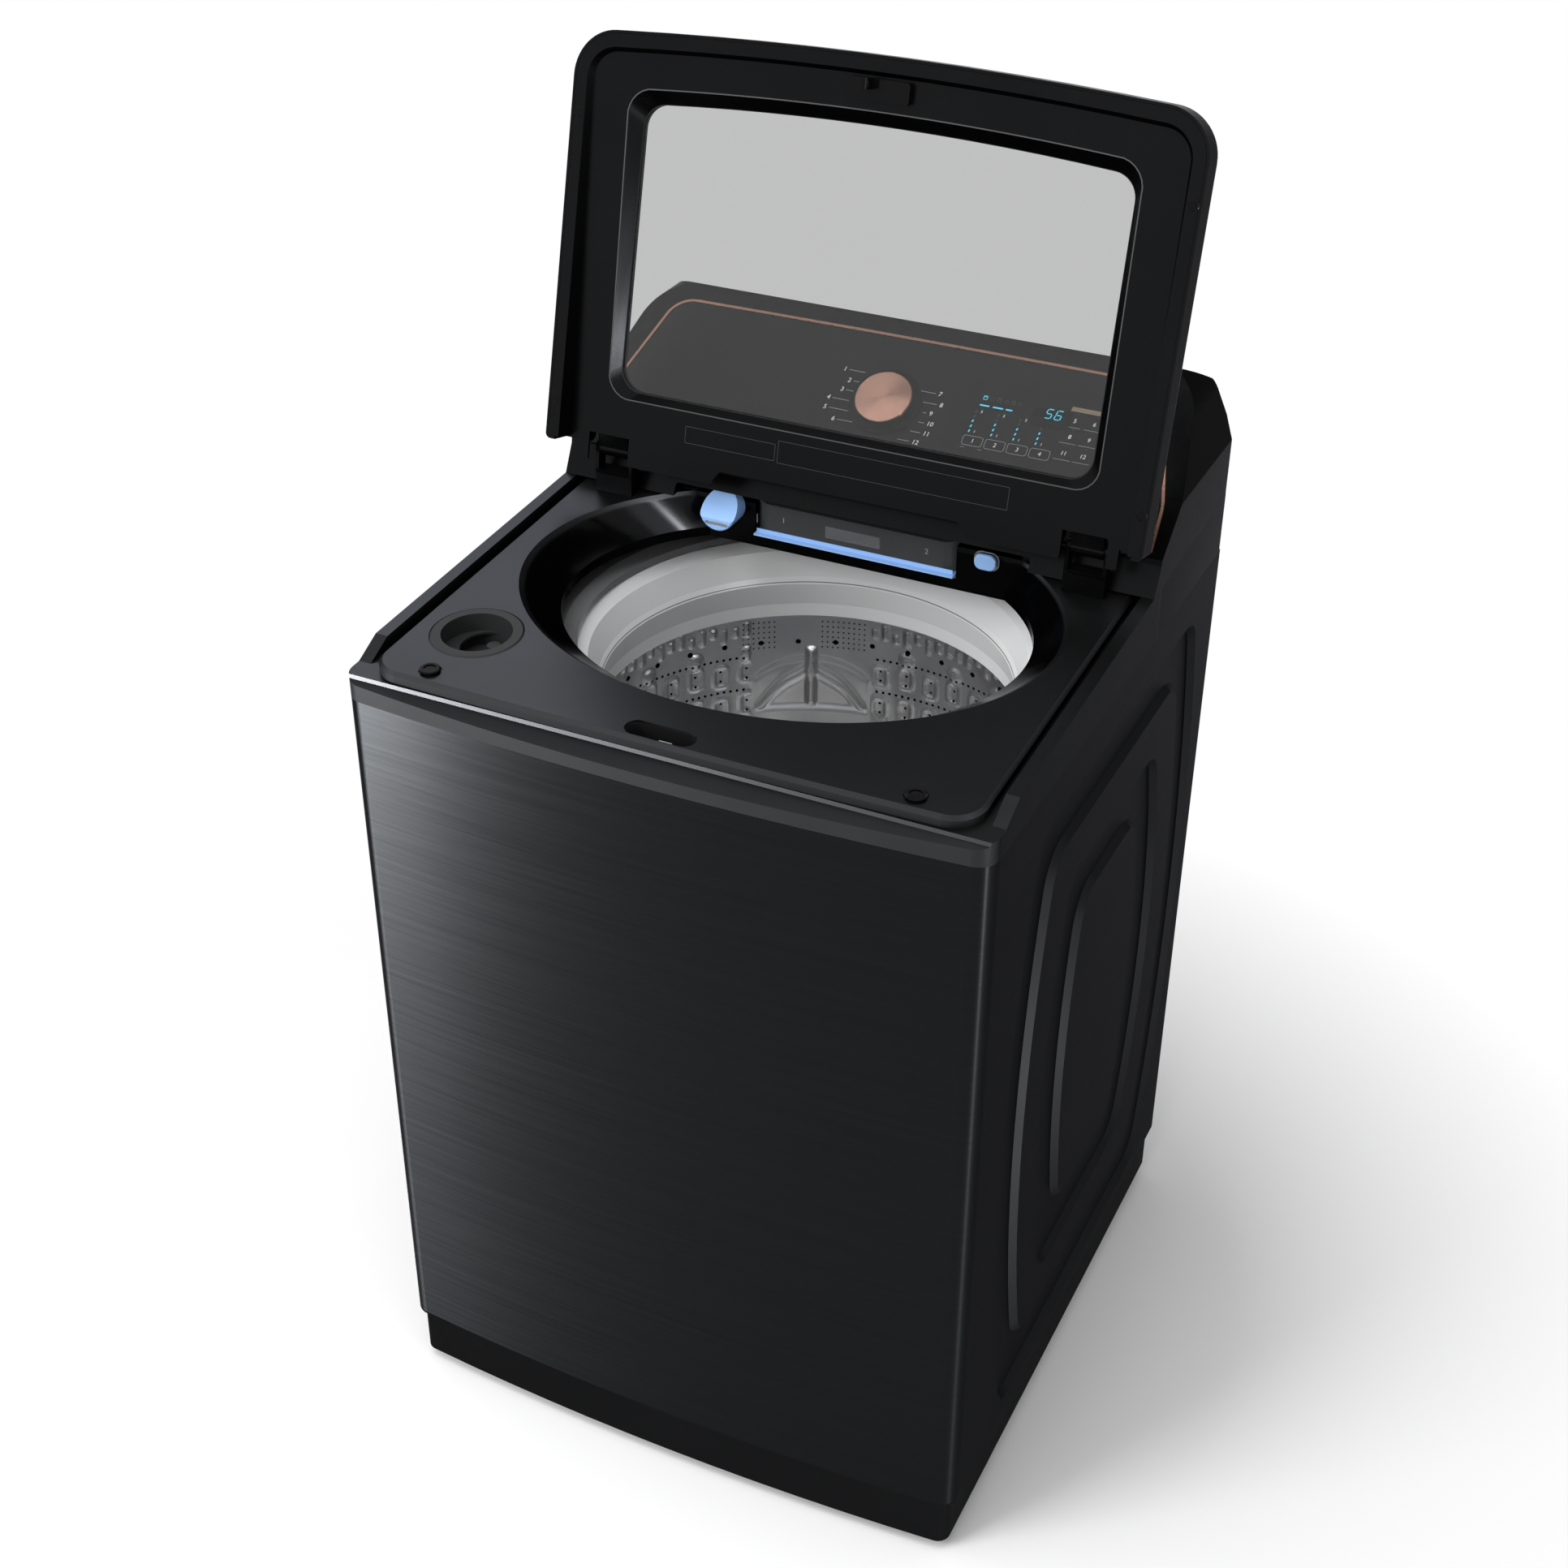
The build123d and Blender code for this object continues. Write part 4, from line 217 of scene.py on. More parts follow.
def lit_mark(name, colour, strength):
    """Light shining through printing."""
    made, tree, main = finish(name, darker(colour, 0.6), 0.4)
    main.inputs["Emission Color"].default_value = (*colour, 1.0)
    glow = speckle(tree, stretched(tree, (1, 1, 1)), 300.0)
    power = spread_of(tree, glow, 0, 1, strength * 0.85, strength * 1.15)
    tree.links.new(power, main.inputs["Emission Strength"])
    return made


# ---------------------------------------------------------------- finishes
rose = (0.62, 0.36, 0.27)


def brushed_black_steel():
    """Black stainless front with level brush lines; dark coated sheet on the sides."""
    made, tree, main = finish("black_steel", (0.016, 0.0165, 0.017), 0.4, metal=1.0, gloss=0.3)
    start = node(tree, "TexCoord").outputs["Object"]
    parts = node(tree, "SeparateXYZ", {0: start})
    front = spread_of(tree, parts.outputs["Y"], -0.352, -0.336, 1.0, 0.0)
    lines = speckle(tree, stretched(tree, (7, 7, 1600)), 1.0, 3.0, 0.7)
    streak = speckle(tree, stretched(tree, (3, 3, 160)), 1.0, 3.0, 0.6)
    marks = sum_of(tree, "ADD", sum_of(tree, "MULTIPLY", lines, 0.6), sum_of(tree, "MULTIPLY", streak, 0.4))
    cloud = speckle(tree, start, 7.0, 3.0)
    steel = blend_of(tree, marks, (0.0085, 0.0090, 0.0096), (0.0175, 0.0182, 0.0192))
    paint = blend_of(tree, cloud, (0.0125, 0.0129, 0.0135), (0.0165, 0.0169, 0.0175))
    tree.links.new(blend_of(tree, front, paint, steel), main.inputs["Base Color"])
    tree.links.new(sum_of(tree, "ADD", spread_of(tree, front, 0, 1, 0.44, 0.335),
                          spread_of(tree, marks, 0, 1, -0.05, 0.06)), main.inputs["Roughness"])
    main.inputs["Anisotropic"].default_value = 0.89
    main.inputs["Specular Tint"].default_value = (0.45, 0.45, 0.46, 1.0)
    upright = node(tree, "CombineXYZ", {"Z": 1.0}).outputs[0]
    tree.links.new(upright, main.inputs["Tangent"])
    height = sum_of(tree, "ADD", sum_of(tree, "MULTIPLY", marks, front), sum_of(tree, "MULTIPLY", cloud, 0.3))
    relief(tree, main, height, 0.000012)
    return made


def deck_cover():
    """Deck plastic: satin grain on the flat; glossy down in the bowl and behind it, where the far darker colour is
    partly the polished black plastic and partly painted shade of the steep bowl walls and painted reflection of the
    black lid.
    """
    made, tree, main = finish("deck_plastic", (0.03, 0.03, 0.032), 0.36, metal=0.93, gloss=0.12)
    start = node(tree, "TexCoord").outputs["Object"]
    parts = node(tree, "SeparateXYZ", {0: start})
    flat = sum_of(tree, "ADD", sum_of(tree, "MULTIPLY", parts.outputs["Y"], 0.0472), 0.9905 - 0.0032)
    sunk = spread_of(tree, sum_of(tree, "SUBTRACT", flat, parts.outputs["Z"]), 0.0, 0.003)
    inner = sum_of(tree, "MULTIPLY", spread_of(tree, sum_of(tree, "ABSOLUTE", parts.outputs["X"]), 0.306, 0.302),
                   spread_of(tree, parts.outputs["Y"], -0.285, -0.280))
    behind = spread_of(tree, parts.outputs["Y"], 0.112, 0.122)
    bowl = sum_of(tree, "MAXIMUM", sum_of(tree, "MULTIPLY", sunk, inner), behind)
    cloud = speckle(tree, start, 8.0, 3.0)
    fine = speckle(tree, start, 1900.0, 1.0)
    satin = blend_of(tree, cloud, (0.023, 0.0238, 0.0249), (0.029, 0.0300, 0.0313))
    # the near-black colour in the bowl and behind it is partly painted shade and painted reflection of the lid
    tree.links.new(blend_of(tree, bowl, satin, (0.0090, 0.0092, 0.0098)), main.inputs["Base Color"])
    tree.links.new(spread_of(tree, bowl, 0, 1, 0.38, 0.14), main.inputs["Roughness"])
    main.inputs["Specular Tint"].default_value = (0.3, 0.3, 0.31, 1.0)
    relief(tree, main, sum_of(tree, "MULTIPLY", fine, sum_of(tree, "SUBTRACT", 1.0, bowl)), 0.00003)
    return made


def spun_rose(name, centre, axis, rim, rough=0.22):
    """Rose coloured metal, spun about an axis so that light fans out from the centre; its side at the rim is
    painted far darker as shade.
    """
    made, tree, main = finish(name, rose, rough, metal=1.0)
    start = node(tree, "TexCoord").outputs["Object"]
    arm = node(tree, "VectorMath", {0: start, 1: centre}, operation="SUBTRACT").outputs[0]
    along = node(tree, "VectorMath", {0: arm, 1: axis}, operation="DOT_PRODUCT").outputs["Value"]
    lift = node(tree, "VectorMath", {0: axis, "Scale": along}, operation="SCALE").outputs[0]
    spoke = node(tree, "VectorMath", {0: arm, 1: lift}, operation="SUBTRACT").outputs[0]
    reach = node(tree, "VectorMath", {0: spoke}, operation="LENGTH").outputs["Value"]
    rings = node(tree, "TexNoise", {"W": sum_of(tree, "MULTIPLY", reach, 1.0), "Scale": 2600.0, "Detail": 2.0},
                 noise_dimensions="1D").outputs[0]
    face = blend_of(tree, rings, darker(rose, 0.88), darker(rose, 1.08))
    # painted shade: near the rim the knob's side gets about a fifth of the rose colour
    side = spread_of(tree, reach, rim - 0.0016, rim - 0.0006)
    tree.links.new(blend_of(tree, side, face, darker(rose, 0.22)), main.inputs["Base Color"])
    tree.links.new(spread_of(tree, rings, 0, 1, rough - 0.05, rough + 0.07), main.inputs["Roughness"])
    main.inputs["Anisotropic"].default_value = 0.85
    world_spoke = node(tree, "VectorTransform", {0: spoke}, vector_type="VECTOR",
                       convert_from="OBJECT", convert_to="WORLD").outputs[0]
    tree.links.new(world_spoke, main.inputs["Tangent"])
    relief(tree, main, rings, 0.000012)
    return made


rib_angle = 114.0  # where the drum's upright rib stands, in degrees


def perforated_drum():
    """Bright stainless drum wall; its rows of drain holes are not cut as openings but painted as near-black spots,
    painted shade of the gap behind the wall.
    """
    made, tree, main = finish("drum_wall_steel", (0.9, 0.9, 0.9), 0.15, metal=0.95)
    start = node(tree, "TexCoord").outputs["Object"]
    parts = node(tree, "SeparateXYZ", {0: start})
    angle = sum_of(tree, "ARCTAN2", parts.outputs["Y"], parts.outputs["X"])
    angle = sum_of(tree, "MULTIPLY", angle, 180 / pi)
    height = sum_of(tree, "MULTIPLY", parts.outputs["Z"], 1000.0)
    arc = 5.0265  # millimetres of wall in one degree

    def spots(pitch, level, rise, radius, shift=0.0):
        """Round holes in rows: a pitch in degrees round the wall, and a rise between rows in millimetres."""
        turn = sum_of(tree, "ADD", angle, 720.0 + shift)
        beat = sum_of(tree, "SUBTRACT", sum_of(tree, "MODULO", turn, pitch), pitch / 2)
        across = sum_of(tree, "MULTIPLY", beat, arc)
        up = sum_of(tree, "SUBTRACT", height, level)
        if rise:
            up = sum_of(tree, "MODULO", sum_of(tree, "ADD", up, rise * 40.5), rise)
            up = sum_of(tree, "SUBTRACT", up, rise / 2)
        squares = [sum_of(tree, "POWER", leg, 2.0) for leg in (across, up)]
        away = sum_of(tree, "SQRT", sum_of(tree, "ADD", *squares))
        return spread_of(tree, away, radius * 1.1, radius * 0.9)

    def between(value, low, high):
        """One inside a range."""
        return sum_of(tree, "MULTIPLY", sum_of(tree, "GREATER_THAN", value, low),
                      sum_of(tree, "LESS_THAN", value, high))

    from_rib = sum_of(tree, "ABSOLUTE", sum_of(tree, "SUBTRACT", angle, rib_angle))
    off_wave = sum_of(tree, "GREATER_THAN", from_rib, 15.5)
    lower = sum_of(tree, "MULTIPLY", sum_of(tree, "LESS_THAN", height, 741.0), off_wave)
    dotted = sum_of(tree, "MAXIMUM", between(angle, 100.5, 112.5), between(angle, 122.0, 131.0))
    dotted = sum_of(tree, "MULTIPLY", dotted, between(height, 742.0, 784.0))
    holes_painted_shade = sum_of(tree, "MULTIPLY", spots(1.6667, 687.5, 45.0, 1.75), lower)
    for rows_of_holes in (sum_of(tree, "MULTIPLY", spots(6.6667, 703.5, 45.0, 1.6), lower),
                          sum_of(tree, "MULTIPLY", spots(6.6667, 716.5, 45.0, 1.6), lower),
                          spots(9.15, 750.0, 0, 3.2),
                          sum_of(tree, "MULTIPLY", spots(1.3, 757.0, 7.0, 1.0), dotted)):
        holes_painted_shade = sum_of(tree, "MAXIMUM", holes_painted_shade, rows_of_holes)
    haze = speckle(tree, start, 30.0, 3.0)
    bright = blend_of(tree, haze, (0.86, 0.86, 0.86), (0.97, 0.97, 0.97))
    # painted shade: the holes are near-black spots on the bright wall
    tree.links.new(blend_of(tree, holes_painted_shade, bright, (0.004, 0.004, 0.004)), main.inputs["Base Color"])
    tree.links.new(spread_of(tree, haze, 0, 1, 0.10, 0.18), main.inputs["Roughness"])
    relief(tree, main, sum_of(tree, "MULTIPLY", holes_painted_shade, -1.0), 0.0012)
    return made


def ring_plastic():
    """Pale balance ring with a fine dark line round its step, painted shade of the step."""
    made, tree, main = finish("balance_ring_plastic", (0.66, 0.665, 0.67), 0.3, gloss=0.3)
    start = node(tree, "TexCoord").outputs["Object"]
    level = node(tree, "SeparateXYZ", {0: start}).outputs["Z"]
    off = sum_of(tree, "ABSOLUTE", sum_of(tree, "SUBTRACT", level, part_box("balance_ring")[0][2] + 0.048))
    # painted shade: a thin dark line along the ring's step
    line = spread_of(tree, off, 0.0004, 0.0007, 1.0, 0.0)
    cloud = speckle(tree, start, 9.0, 3.0)
    pale = blend_of(tree, cloud, (0.70, 0.705, 0.71), (0.76, 0.765, 0.77))
    tree.links.new(blend_of(tree, line, pale, (0.16, 0.16, 0.16)), main.inputs["Base Color"])
    tree.links.new(spread_of(tree, cloud, 0, 1, 0.26, 0.34), main.inputs["Roughness"])
    relief(tree, main, cloud, 0.00001)
    return made


def clear_glass():
    """Tempered lid glass with a grey tint."""
    made, tree, main = finish("lid_glass", (0.5, 0.5, 0.505), 0.0, gloss=0.12)
    film = speckle(tree, stretched(tree, (1, 1, 1)), 4.0, 2.0)
    tree.links.new(spread_of(tree, film, 0, 1, 0.0, 0.012), main.inputs["Roughness"])
    tint = blend_of(tree, film, (0.505, 0.507, 0.510), (0.518, 0.520, 0.523))
    tree.links.new(tint, main.inputs["Base Color"])
    main.inputs["Transmission Weight"].default_value = 1.0
    main.inputs["IOR"].default_value = 1.45
    return made


joints = {joint["name"]: joint for joint in frame["joints"]}
dial_axis = Vector(joints["dial_turn"]["axis"])
dial_centre = Vector(joints["dial_turn"]["pos_m"])
finishes = {
    "black_steel": brushed_black_steel(), "deck": deck_cover(),
    "cup": moulded("cup_plastic", (0.032, 0.0328, 0.0340), 0.3, gloss=0.2, grain=0.00001, metal=0.3),
    "drawer": moulded("drawer_plastic", (0.062, 0.0635, 0.0655), 0.34, gloss=0.2, grain=0.00001, metal=0.3),
    "satin": moulded("lid_and_console_plastic", (0.0110, 0.0114, 0.0120), 0.27, gloss=0.06,
                     grain=0.000008, metal=0.9),
    "gloss": moulded("polished_black", (0.0045, 0.0045, 0.005), 0.12, gloss=0.35, grain=0.000003,
                     grain_scale=400.0, metal=0.4),
    "fascia": moulded("panel_film", (0.024, 0.0249, 0.0262), 0.4, gloss=0.05, grain=0.0,
                      grain_scale=900.0, drift=0.05),
    "dark": moulded("moulded_dark", (0.014, 0.014, 0.015), 0.45, gloss=0.2, metal=0.4),
    "base": moulded("base_plastic", (0.0100, 0.0103, 0.0109), 0.5, gloss=0.1, grain=0.00003,
                    grain_scale=1200.0, metal=0.8),
    "window": moulded("display_glass", (0.010, 0.0095, 0.009), 0.1, gloss=0.2, grain=0.000001),
    "blue": moulded("blue_plastic", (0.300, 0.500, 0.860), 0.34, gloss=0.5, grain=0.00001, drift=0.05),
    "white": moulded("white_plastic", (0.70, 0.70, 0.68), 0.45, grain=0.00003, drift=0.05),
    "tub": moulded("tub_plastic", (0.42, 0.43, 0.45), 0.5, grain=0.00004, drift=0.08),
    "grey": moulded("tub_cover_plastic", (0.13, 0.132, 0.135), 0.28, gloss=0.4, grain=0.00001),
    "ring": ring_plastic(),
    "board": moulded("board_lacquer", (0.02, 0.12, 0.05), 0.35, gloss=0.5, grain=0.0001, grain_scale=300.0),
    "rubber": soft_rubber("rubber_black", (0.012, 0.012, 0.012)),
    "hose": soft_rubber("hose_rubber", (0.10, 0.10, 0.11), 0.6),
    "zinc": plain_metal("zinc_sheet", (0.50, 0.51, 0.52), 0.42, (8, 8, 30)),
    "plated": plain_metal("plated_steel", (0.62, 0.61, 0.58), 0.3),
    "cast": plain_metal("cast_aluminium", (0.55, 0.55, 0.55), 0.5, (200, 200, 200), 0.00008),
    "stainless": plain_metal("stainless", (0.80, 0.80, 0.80), 0.24, (20, 20, 20)),
    "copper": plain_metal("copper_winding", (0.60, 0.25, 0.10), 0.32, (30, 30, 900), 0.0002),
    "drum": perforated_drum(),
    "glass": clear_glass(),
    "knob": spun_rose("rose_knob", dial_centre, dial_axis,
                      (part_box("dial_knob")[1][0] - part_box("dial_knob")[0][0]) / 2),
    "trim": plain_metal("rose_trim", (0.55, 0.31, 0.22), 0.28, (30, 30, 30), 0.00001),
    # the white figures and the leader lines glow: painted light on printed ink
    "print_white": printed("label_ink", (0.86, 0.87, 0.88), glow=0.9),
    "print_line": printed("line_ink", (0.55, 0.56, 0.57), glow=0.35),
    "unlit": printed("unlit_marks", (0.115, 0.120, 0.123)),
    "lit_cyan": lit_mark("cyan_light", (0.08, 0.62, 0.85), 1.7),
    "label_metal": plain_metal("label_metal", (0.36, 0.36, 0.365), 0.45, (40, 40, 40), 0.000005),
    "grey_ink": printed("grey_ink", (0.30, 0.305, 0.31)),
    "plaque": printed("beige_plaque", (0.72, 0.55, 0.40), 0.4),
    # painted highlight: the bead is several times lighter than the lid plastic it runs round
    "bead": moulded("bead_painted_highlight", (0.05, 0.051, 0.053), 0.25, gloss=0.4, grain=0.000002),
    "faint_line": printed("faint_line", (0.060, 0.061, 0.063), 0.4),
}
worn_by = {
    "black_steel": ["cabinet_wrap"], "deck": ["top_cover"],
    "satin": ["console_housing", "lid_outer_frame", "lid_inner_frame", "hinge_brackets", "lid_hinge_arms"],
    "cup": ["bleach_cup"], "drawer": ["drawer_front"],
    "gloss": ["dial_bezel", "lid_striker", "deck_bumpers"], "grey": ["tub_cover"],
    "fascia": ["console_fascia"],
    "dark": ["lid_lock_housing", "drawer_tray", "dispenser_housing", "drain_outlet", "pump_impeller"],
    "base": ["base_frame"], "window": ["display_window"],
    "blue": ["water_jet_nozzle", "jet_button", "drawer_lip"],
    "white": ["inlet_valves", "drain_pump", "pressure_switch"],
    "tub": ["outer_tub", "suspension_cups", "pulsator"], "ring": ["balance_ring"], "board": ["control_board"],
    "rubber": ["foot_1", "foot_2", "foot_3", "foot_4", "cord_grommet", "lid_glass_seal", "shaft_seal",
               "fill_hose"],
    "hose": ["drain_hose"], "zinc": ["rear_panel", "suspension_gussets", "motor_rotor"],
    "plated": ["lock_bolt", "suspension_rods", "wash_shaft", "spin_shaft", "hinge_pins", "bearings", "dial_encoder",
               "nozzle_insert", "button_ring"],
    "cast": ["bearing_housing"], "stainless": ["drum_base"], "copper": ["motor_stator"], "drum": ["drum_shell"],
    "glass": ["lid_glass"], "knob": ["dial_knob"], "trim": ["console_trim"],
}
for key, names in worn_by.items():
    for name in names:
        mesh = frame["nodes"][name].data
        mesh.materials.clear()
        mesh.materials.append(finishes[key])
bare = sorted(set(frame["nodes"]) - {name for names in worn_by.values() for name in names})
assert not bare, bare


# ---------------------------------------------------------------- drawing helpers
def place_on(foot, up, out):
    """Place of a flat face: across is +X, then its upward and its outward direction."""
    up, out = Vector(up), Vector(out)
    return Matrix.Translation(foot) @ Matrix((up.cross(out), up, out)).transposed().to_4x4()


def settle(sketch, name, place, skin, body="cabinet"):
    """A shape drawn in millimetres becomes a piece at its place."""
    bmesh.ops.remove_doubles(sketch, verts=sketch.verts, dist=0.001)
    bmesh.ops.recalc_face_normals(sketch, faces=sketch.faces)
    bmesh.ops.transform(sketch, matrix=place @ Matrix.Scale(mm, 4), verts=sketch.verts)
    mesh = bpy.data.meshes.new(name)
    sketch.to_mesh(mesh)
    sketch.free()
    mesh.materials.append(skin)
    piece = bpy.data.objects.new(name, mesh)
    scene.collection.objects.link(piece)
    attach(piece, body)
    return piece


def thicken(sketch, faces, thick):
    """Flat faces raised into closed plates."""
    grown = bmesh.ops.extrude_face_region(sketch, geom=faces, use_keep_orig=True)["geom"]
    tops = [part for part in grown if isinstance(part, bmesh.types.BMVert)]
    bmesh.ops.translate(sketch, vec=(0, 0, thick), verts=tops)


def plate(sketch, centre, size, radius, thick=0.12, lift=0.0, line=0.0, lean=0.0):
    """Plate with rounded corners; only its outline where a line width is given."""
    ring = bmesh.ops.create_circle(sketch, cap_ends=True, radius=radius, segments=24,
                                   matrix=Matrix.Rotation(pi / 24, 4, "Z"))["verts"]
    for corner in ring:
        corner.co.x += copysign(size[0] / 2 - radius, corner.co.x)
        corner.co.y += copysign(size[1] / 2 - radius, corner.co.y)
        corner.co.x += lean * corner.co.y
    bmesh.ops.translate(sketch, vec=(*centre, lift), verts=ring)
    face = ring[0].link_faces[0]
    if not line:
        thicken(sketch, [face], thick)
        return
    edge = bmesh.ops.inset_individual(sketch, faces=[face], thickness=line)["faces"]
    bmesh.ops.delete(sketch, geom=[face], context="FACES_ONLY")
    thicken(sketch, edge, thick)


def stroke(sketch, start, end, wide, thick=0.12, lift=0.0):
    """Printed line between two places."""
    start, end = Vector((*start, 0)), Vector((*end, 0))
    run = end - start
    middle = (start + end) / 2 + Vector((0, 0, lift + thick / 2))
    turn = Matrix.Rotation(atan2(run.y, run.x), 4, "Z")
    bmesh.ops.create_cube(sketch, size=1.0, matrix=Matrix.Translation(middle) @ turn
                          @ Matrix.Diagonal((run.length, wide, thick, 1)))


def disc(sketch, centre, low_radius, top_radius, thick, lift=0.0, segments=24):
    """Round plate or cone frustum standing on a face."""
    bmesh.ops.create_cone(sketch, cap_ends=True, segments=segments, radius1=low_radius, radius2=top_radius,
                          depth=thick, matrix=Matrix.Translation((*centre, lift + thick / 2)))


def figures(sketch, words, centre, height, align="CENTER", lean=0.0, thick=0.12):
    """Plain figures of a given height, laid flat on a face."""
    line = bpy.data.curves.new("figures", "FONT")
    line.body, line.size, line.align_x, line.align_y = words, height / 0.72, align, "CENTER"
    line.shear, line.extrude, line.resolution_u = lean, thick / 2, 3
    holder = bpy.data.objects.new("figures", line)
    mesh = bpy.data.meshes.new_from_object(holder)
    before = len(sketch.verts)
    sketch.from_mesh(mesh)
    sketch.verts.ensure_lookup_table()
    bmesh.ops.translate(sketch, vec=(*centre, thick / 2), verts=sketch.verts[before:])
    bpy.data.objects.remove(holder)
    bpy.data.curves.remove(line)
    bpy.data.meshes.remove(mesh)


# ---------------------------------------------------------------- control panel printing and lights
panel_lean = radians(53.0)
panel_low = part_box("console_fascia")[0]
panel = place_on((0, panel_low[1], panel_low[2] + 0.003 * sin(panel_lean)),
                 (0, sin(panel_lean), cos(panel_lean)), (0, -cos(panel_lean), sin(panel_lean)))
rows = (150.5, 137.5, 125.0, 112.5, 100.0, 87.5)
left_leads = ((-58.9, -39.6), (-49.1, -42.4), (-53.4, -44.4), (-65.2, -45.3), (-64.9, -42.0), (-50.4, -32.0))
right_leads = ((27.9, 48.3), (37.8, 54.1), (41.8, 46.2), (41.0, 47.7), (36.1, 47.7), (25.5, 39.2))
key_centres = ((107.7, 93.0), (133.4, 92.9), (158.9, 92.9), (184.4, 92.9))
column_places = (100.0, 125.7, 151.0, 176.5)
tick_levels = (129.0, 123.0, 117.0, 110.7, 104.5)
window_rise = 0.9


def print_panel():
    """Leader lines and plain numbers round the dial, key outlines and key lines."""
    lines, labels = bmesh.new(), bmesh.new()
    for step, level in enumerate(rows):
        outer, inner = left_leads[step]
        stroke(lines, (outer, level), (inner, level), 0.55)
        figures(labels, str(step + 1), (outer - 3.0, level), 5.6, "RIGHT", 0.12)
        inner, outer = right_leads[step]
        stroke(lines, (inner, level - 9.5), (outer, level - 9.5), 0.55)
        figures(labels, str(step + 7), (outer + 3.0, level - 9.5), 5.6, "LEFT", 0.12)
    for step, centre in enumerate(key_centres):
        plate(lines, centre, (23.0, 12.2), 3.0, line=0.45)
        figures(labels, str(step + 1), centre, 5.0, lean=0.1)
        figures(labels, "5", (column_places[step] + 6.0, 129.5), 3.4, lean=0.1)
        figures(labels, "1", (column_places[step] + 6.0, 104.5), 3.4, lean=0.1)
    for start, end, level in ((201.0, 217.5, 131.5), (222.0, 240.5, 131.5), (200.4, 219.0, 111.8),
                              (222.0, 240.5, 111.8), (200.0, 219.0, 91.5), (221.4, 240.5, 91.5),
                              (245.5, 262.0, 131.5), (245.5, 262.0, 111.8), (245.5, 262.0, 91.5)):
        stroke(lines, (start, level), (end, level), 0.45)
        row = round((131.5 - level) / 20.0)
        number = 5 + row * 3 + round((start - 200.0) / 22.0)
        figures(labels, str(number), ((start + end) / 2, level + 8.0), 5.0, lean=0.1)
    for start in (96.5, 116.5):
        stroke(lines, (start, 84.0), (start + 4.5, 84.0), 0.4)
    for level in (120.0, 90.0):
        plate(lines, (285.0, level), (26.0, 20.0), 8.0, line=0.6)
    stroke(lines, (285.0, 121.0), (285.0, 126.0), 0.8)
    plate(lines, (285.0, 120.0), (9.0, 9.0), 4.4, line=0.7)
    bmesh.ops.create_cone(lines, cap_ends=True, segments=3, radius1=4.0, radius2=4.0, depth=0.12,
                          matrix=Matrix.Translation((285.0, 90.0, 0.06)) @ Matrix.Rotation(-pi / 2, 4, "Z"))
    settle(lines, "panel_lines", panel, finishes["print_line"])
    settle(labels, "panel_numbers", panel, finishes["print_white"])


def light_panel():
    """Lit and unlit marks of the panel: level ticks, stage bars, symbols and the two display figures."""
    lit, unlit, warm = bmesh.new(), bmesh.new(), bmesh.new()
    for column in column_places:
        for step, level in enumerate(tick_levels):
            plate(lit if step > 1 else unlit, (column, level), (1.5, 3.0), 0.3, lean=0.2)
    for start, end in ((101.0, 112.0), (116.0, 128.0), (131.0, 138.5)):
        plate(lit, ((start + end) / 2, 137.8), (end - start, 1.7), 0.6, lean=0.2)
    for step, place in enumerate((104.5, 112.6, 120.6, 128.8, 136.7, 144.4)):
        target = unlit if step else lit
        if step % 2:
            plate(target, (place, 147.3), (4.4, 4.4), 2.1, line=0.5)
        else:
            plate(target, (place, 146.9), (4.6, 4.2), 0.8, line=0.6)
            stroke(target, (place - 2.6, 149.6), (place + 2.6, 149.6), 0.6)
    for place in ((210.9, 148.4), (232.7, 148.0), (211.0, 129.0), (232.0, 129.0), (210.0, 109.8), (231.7, 108.5)):
        plate(unlit, place, (2.6, 1.0), 0.4)
    seven = {"5": "afgcd", "6": "afgecd"}
    segments = {"a": ((-2.6, 5.6), (2.6, 5.6)), "g": ((-2.6, 0.0), (2.6, 0.0)), "d": ((-2.6, -5.6), (2.6, -5.6)),
                "f": ((-3.3, 5.1), (-3.3, 0.6)), "b": ((3.3, 5.1), (3.3, 0.6)), "e": ((-3.3, -0.6), (-3.3, -5.1)),
                "c": ((3.3, -0.6), (3.3, -5.1))}
    for figure, middle in (("5", 179.6), ("6", 190.4)):
        for mark in seven[figure]:
            ends = [(middle + x + 0.18 * y, 142.0 + y) for x, y in segments[mark]]
            stroke(lit, ends[0], ends[1], 1.05, lift=window_rise)
    plate(warm, (220.6, 153.6), (38.6, 5.4), 0.8, lean=0.1)
    settle(lit, "panel_lights", panel, finishes["lit_cyan"])
    settle(unlit, "panel_unlit_marks", panel, finishes["unlit"])
    settle(warm, "panel_plaque", panel, finishes["plaque"])


print_panel()
light_panel()

# ---------------------------------------------------------------- lid beads, caps and blank label frames
lid_lean = radians(14.5)
pin = Vector(joints["lid_hinge"]["pos_m"])
lid_up, lid_out = Vector((0, sin(lid_lean), cos(lid_lean))), Vector((0, -cos(lid_lean), sin(lid_lean)))
lid_foot = pin + 0.0065 * lid_up + 0.044 * lid_out
lid_face = place_on(lid_foot, lid_up, lid_out)
field_slope = atan2(16.0, 448.0)
field_face = lid_face @ Matrix.Translation((0, 0, -0.022)) @ Matrix.Rotation(field_slope, 4, "X")


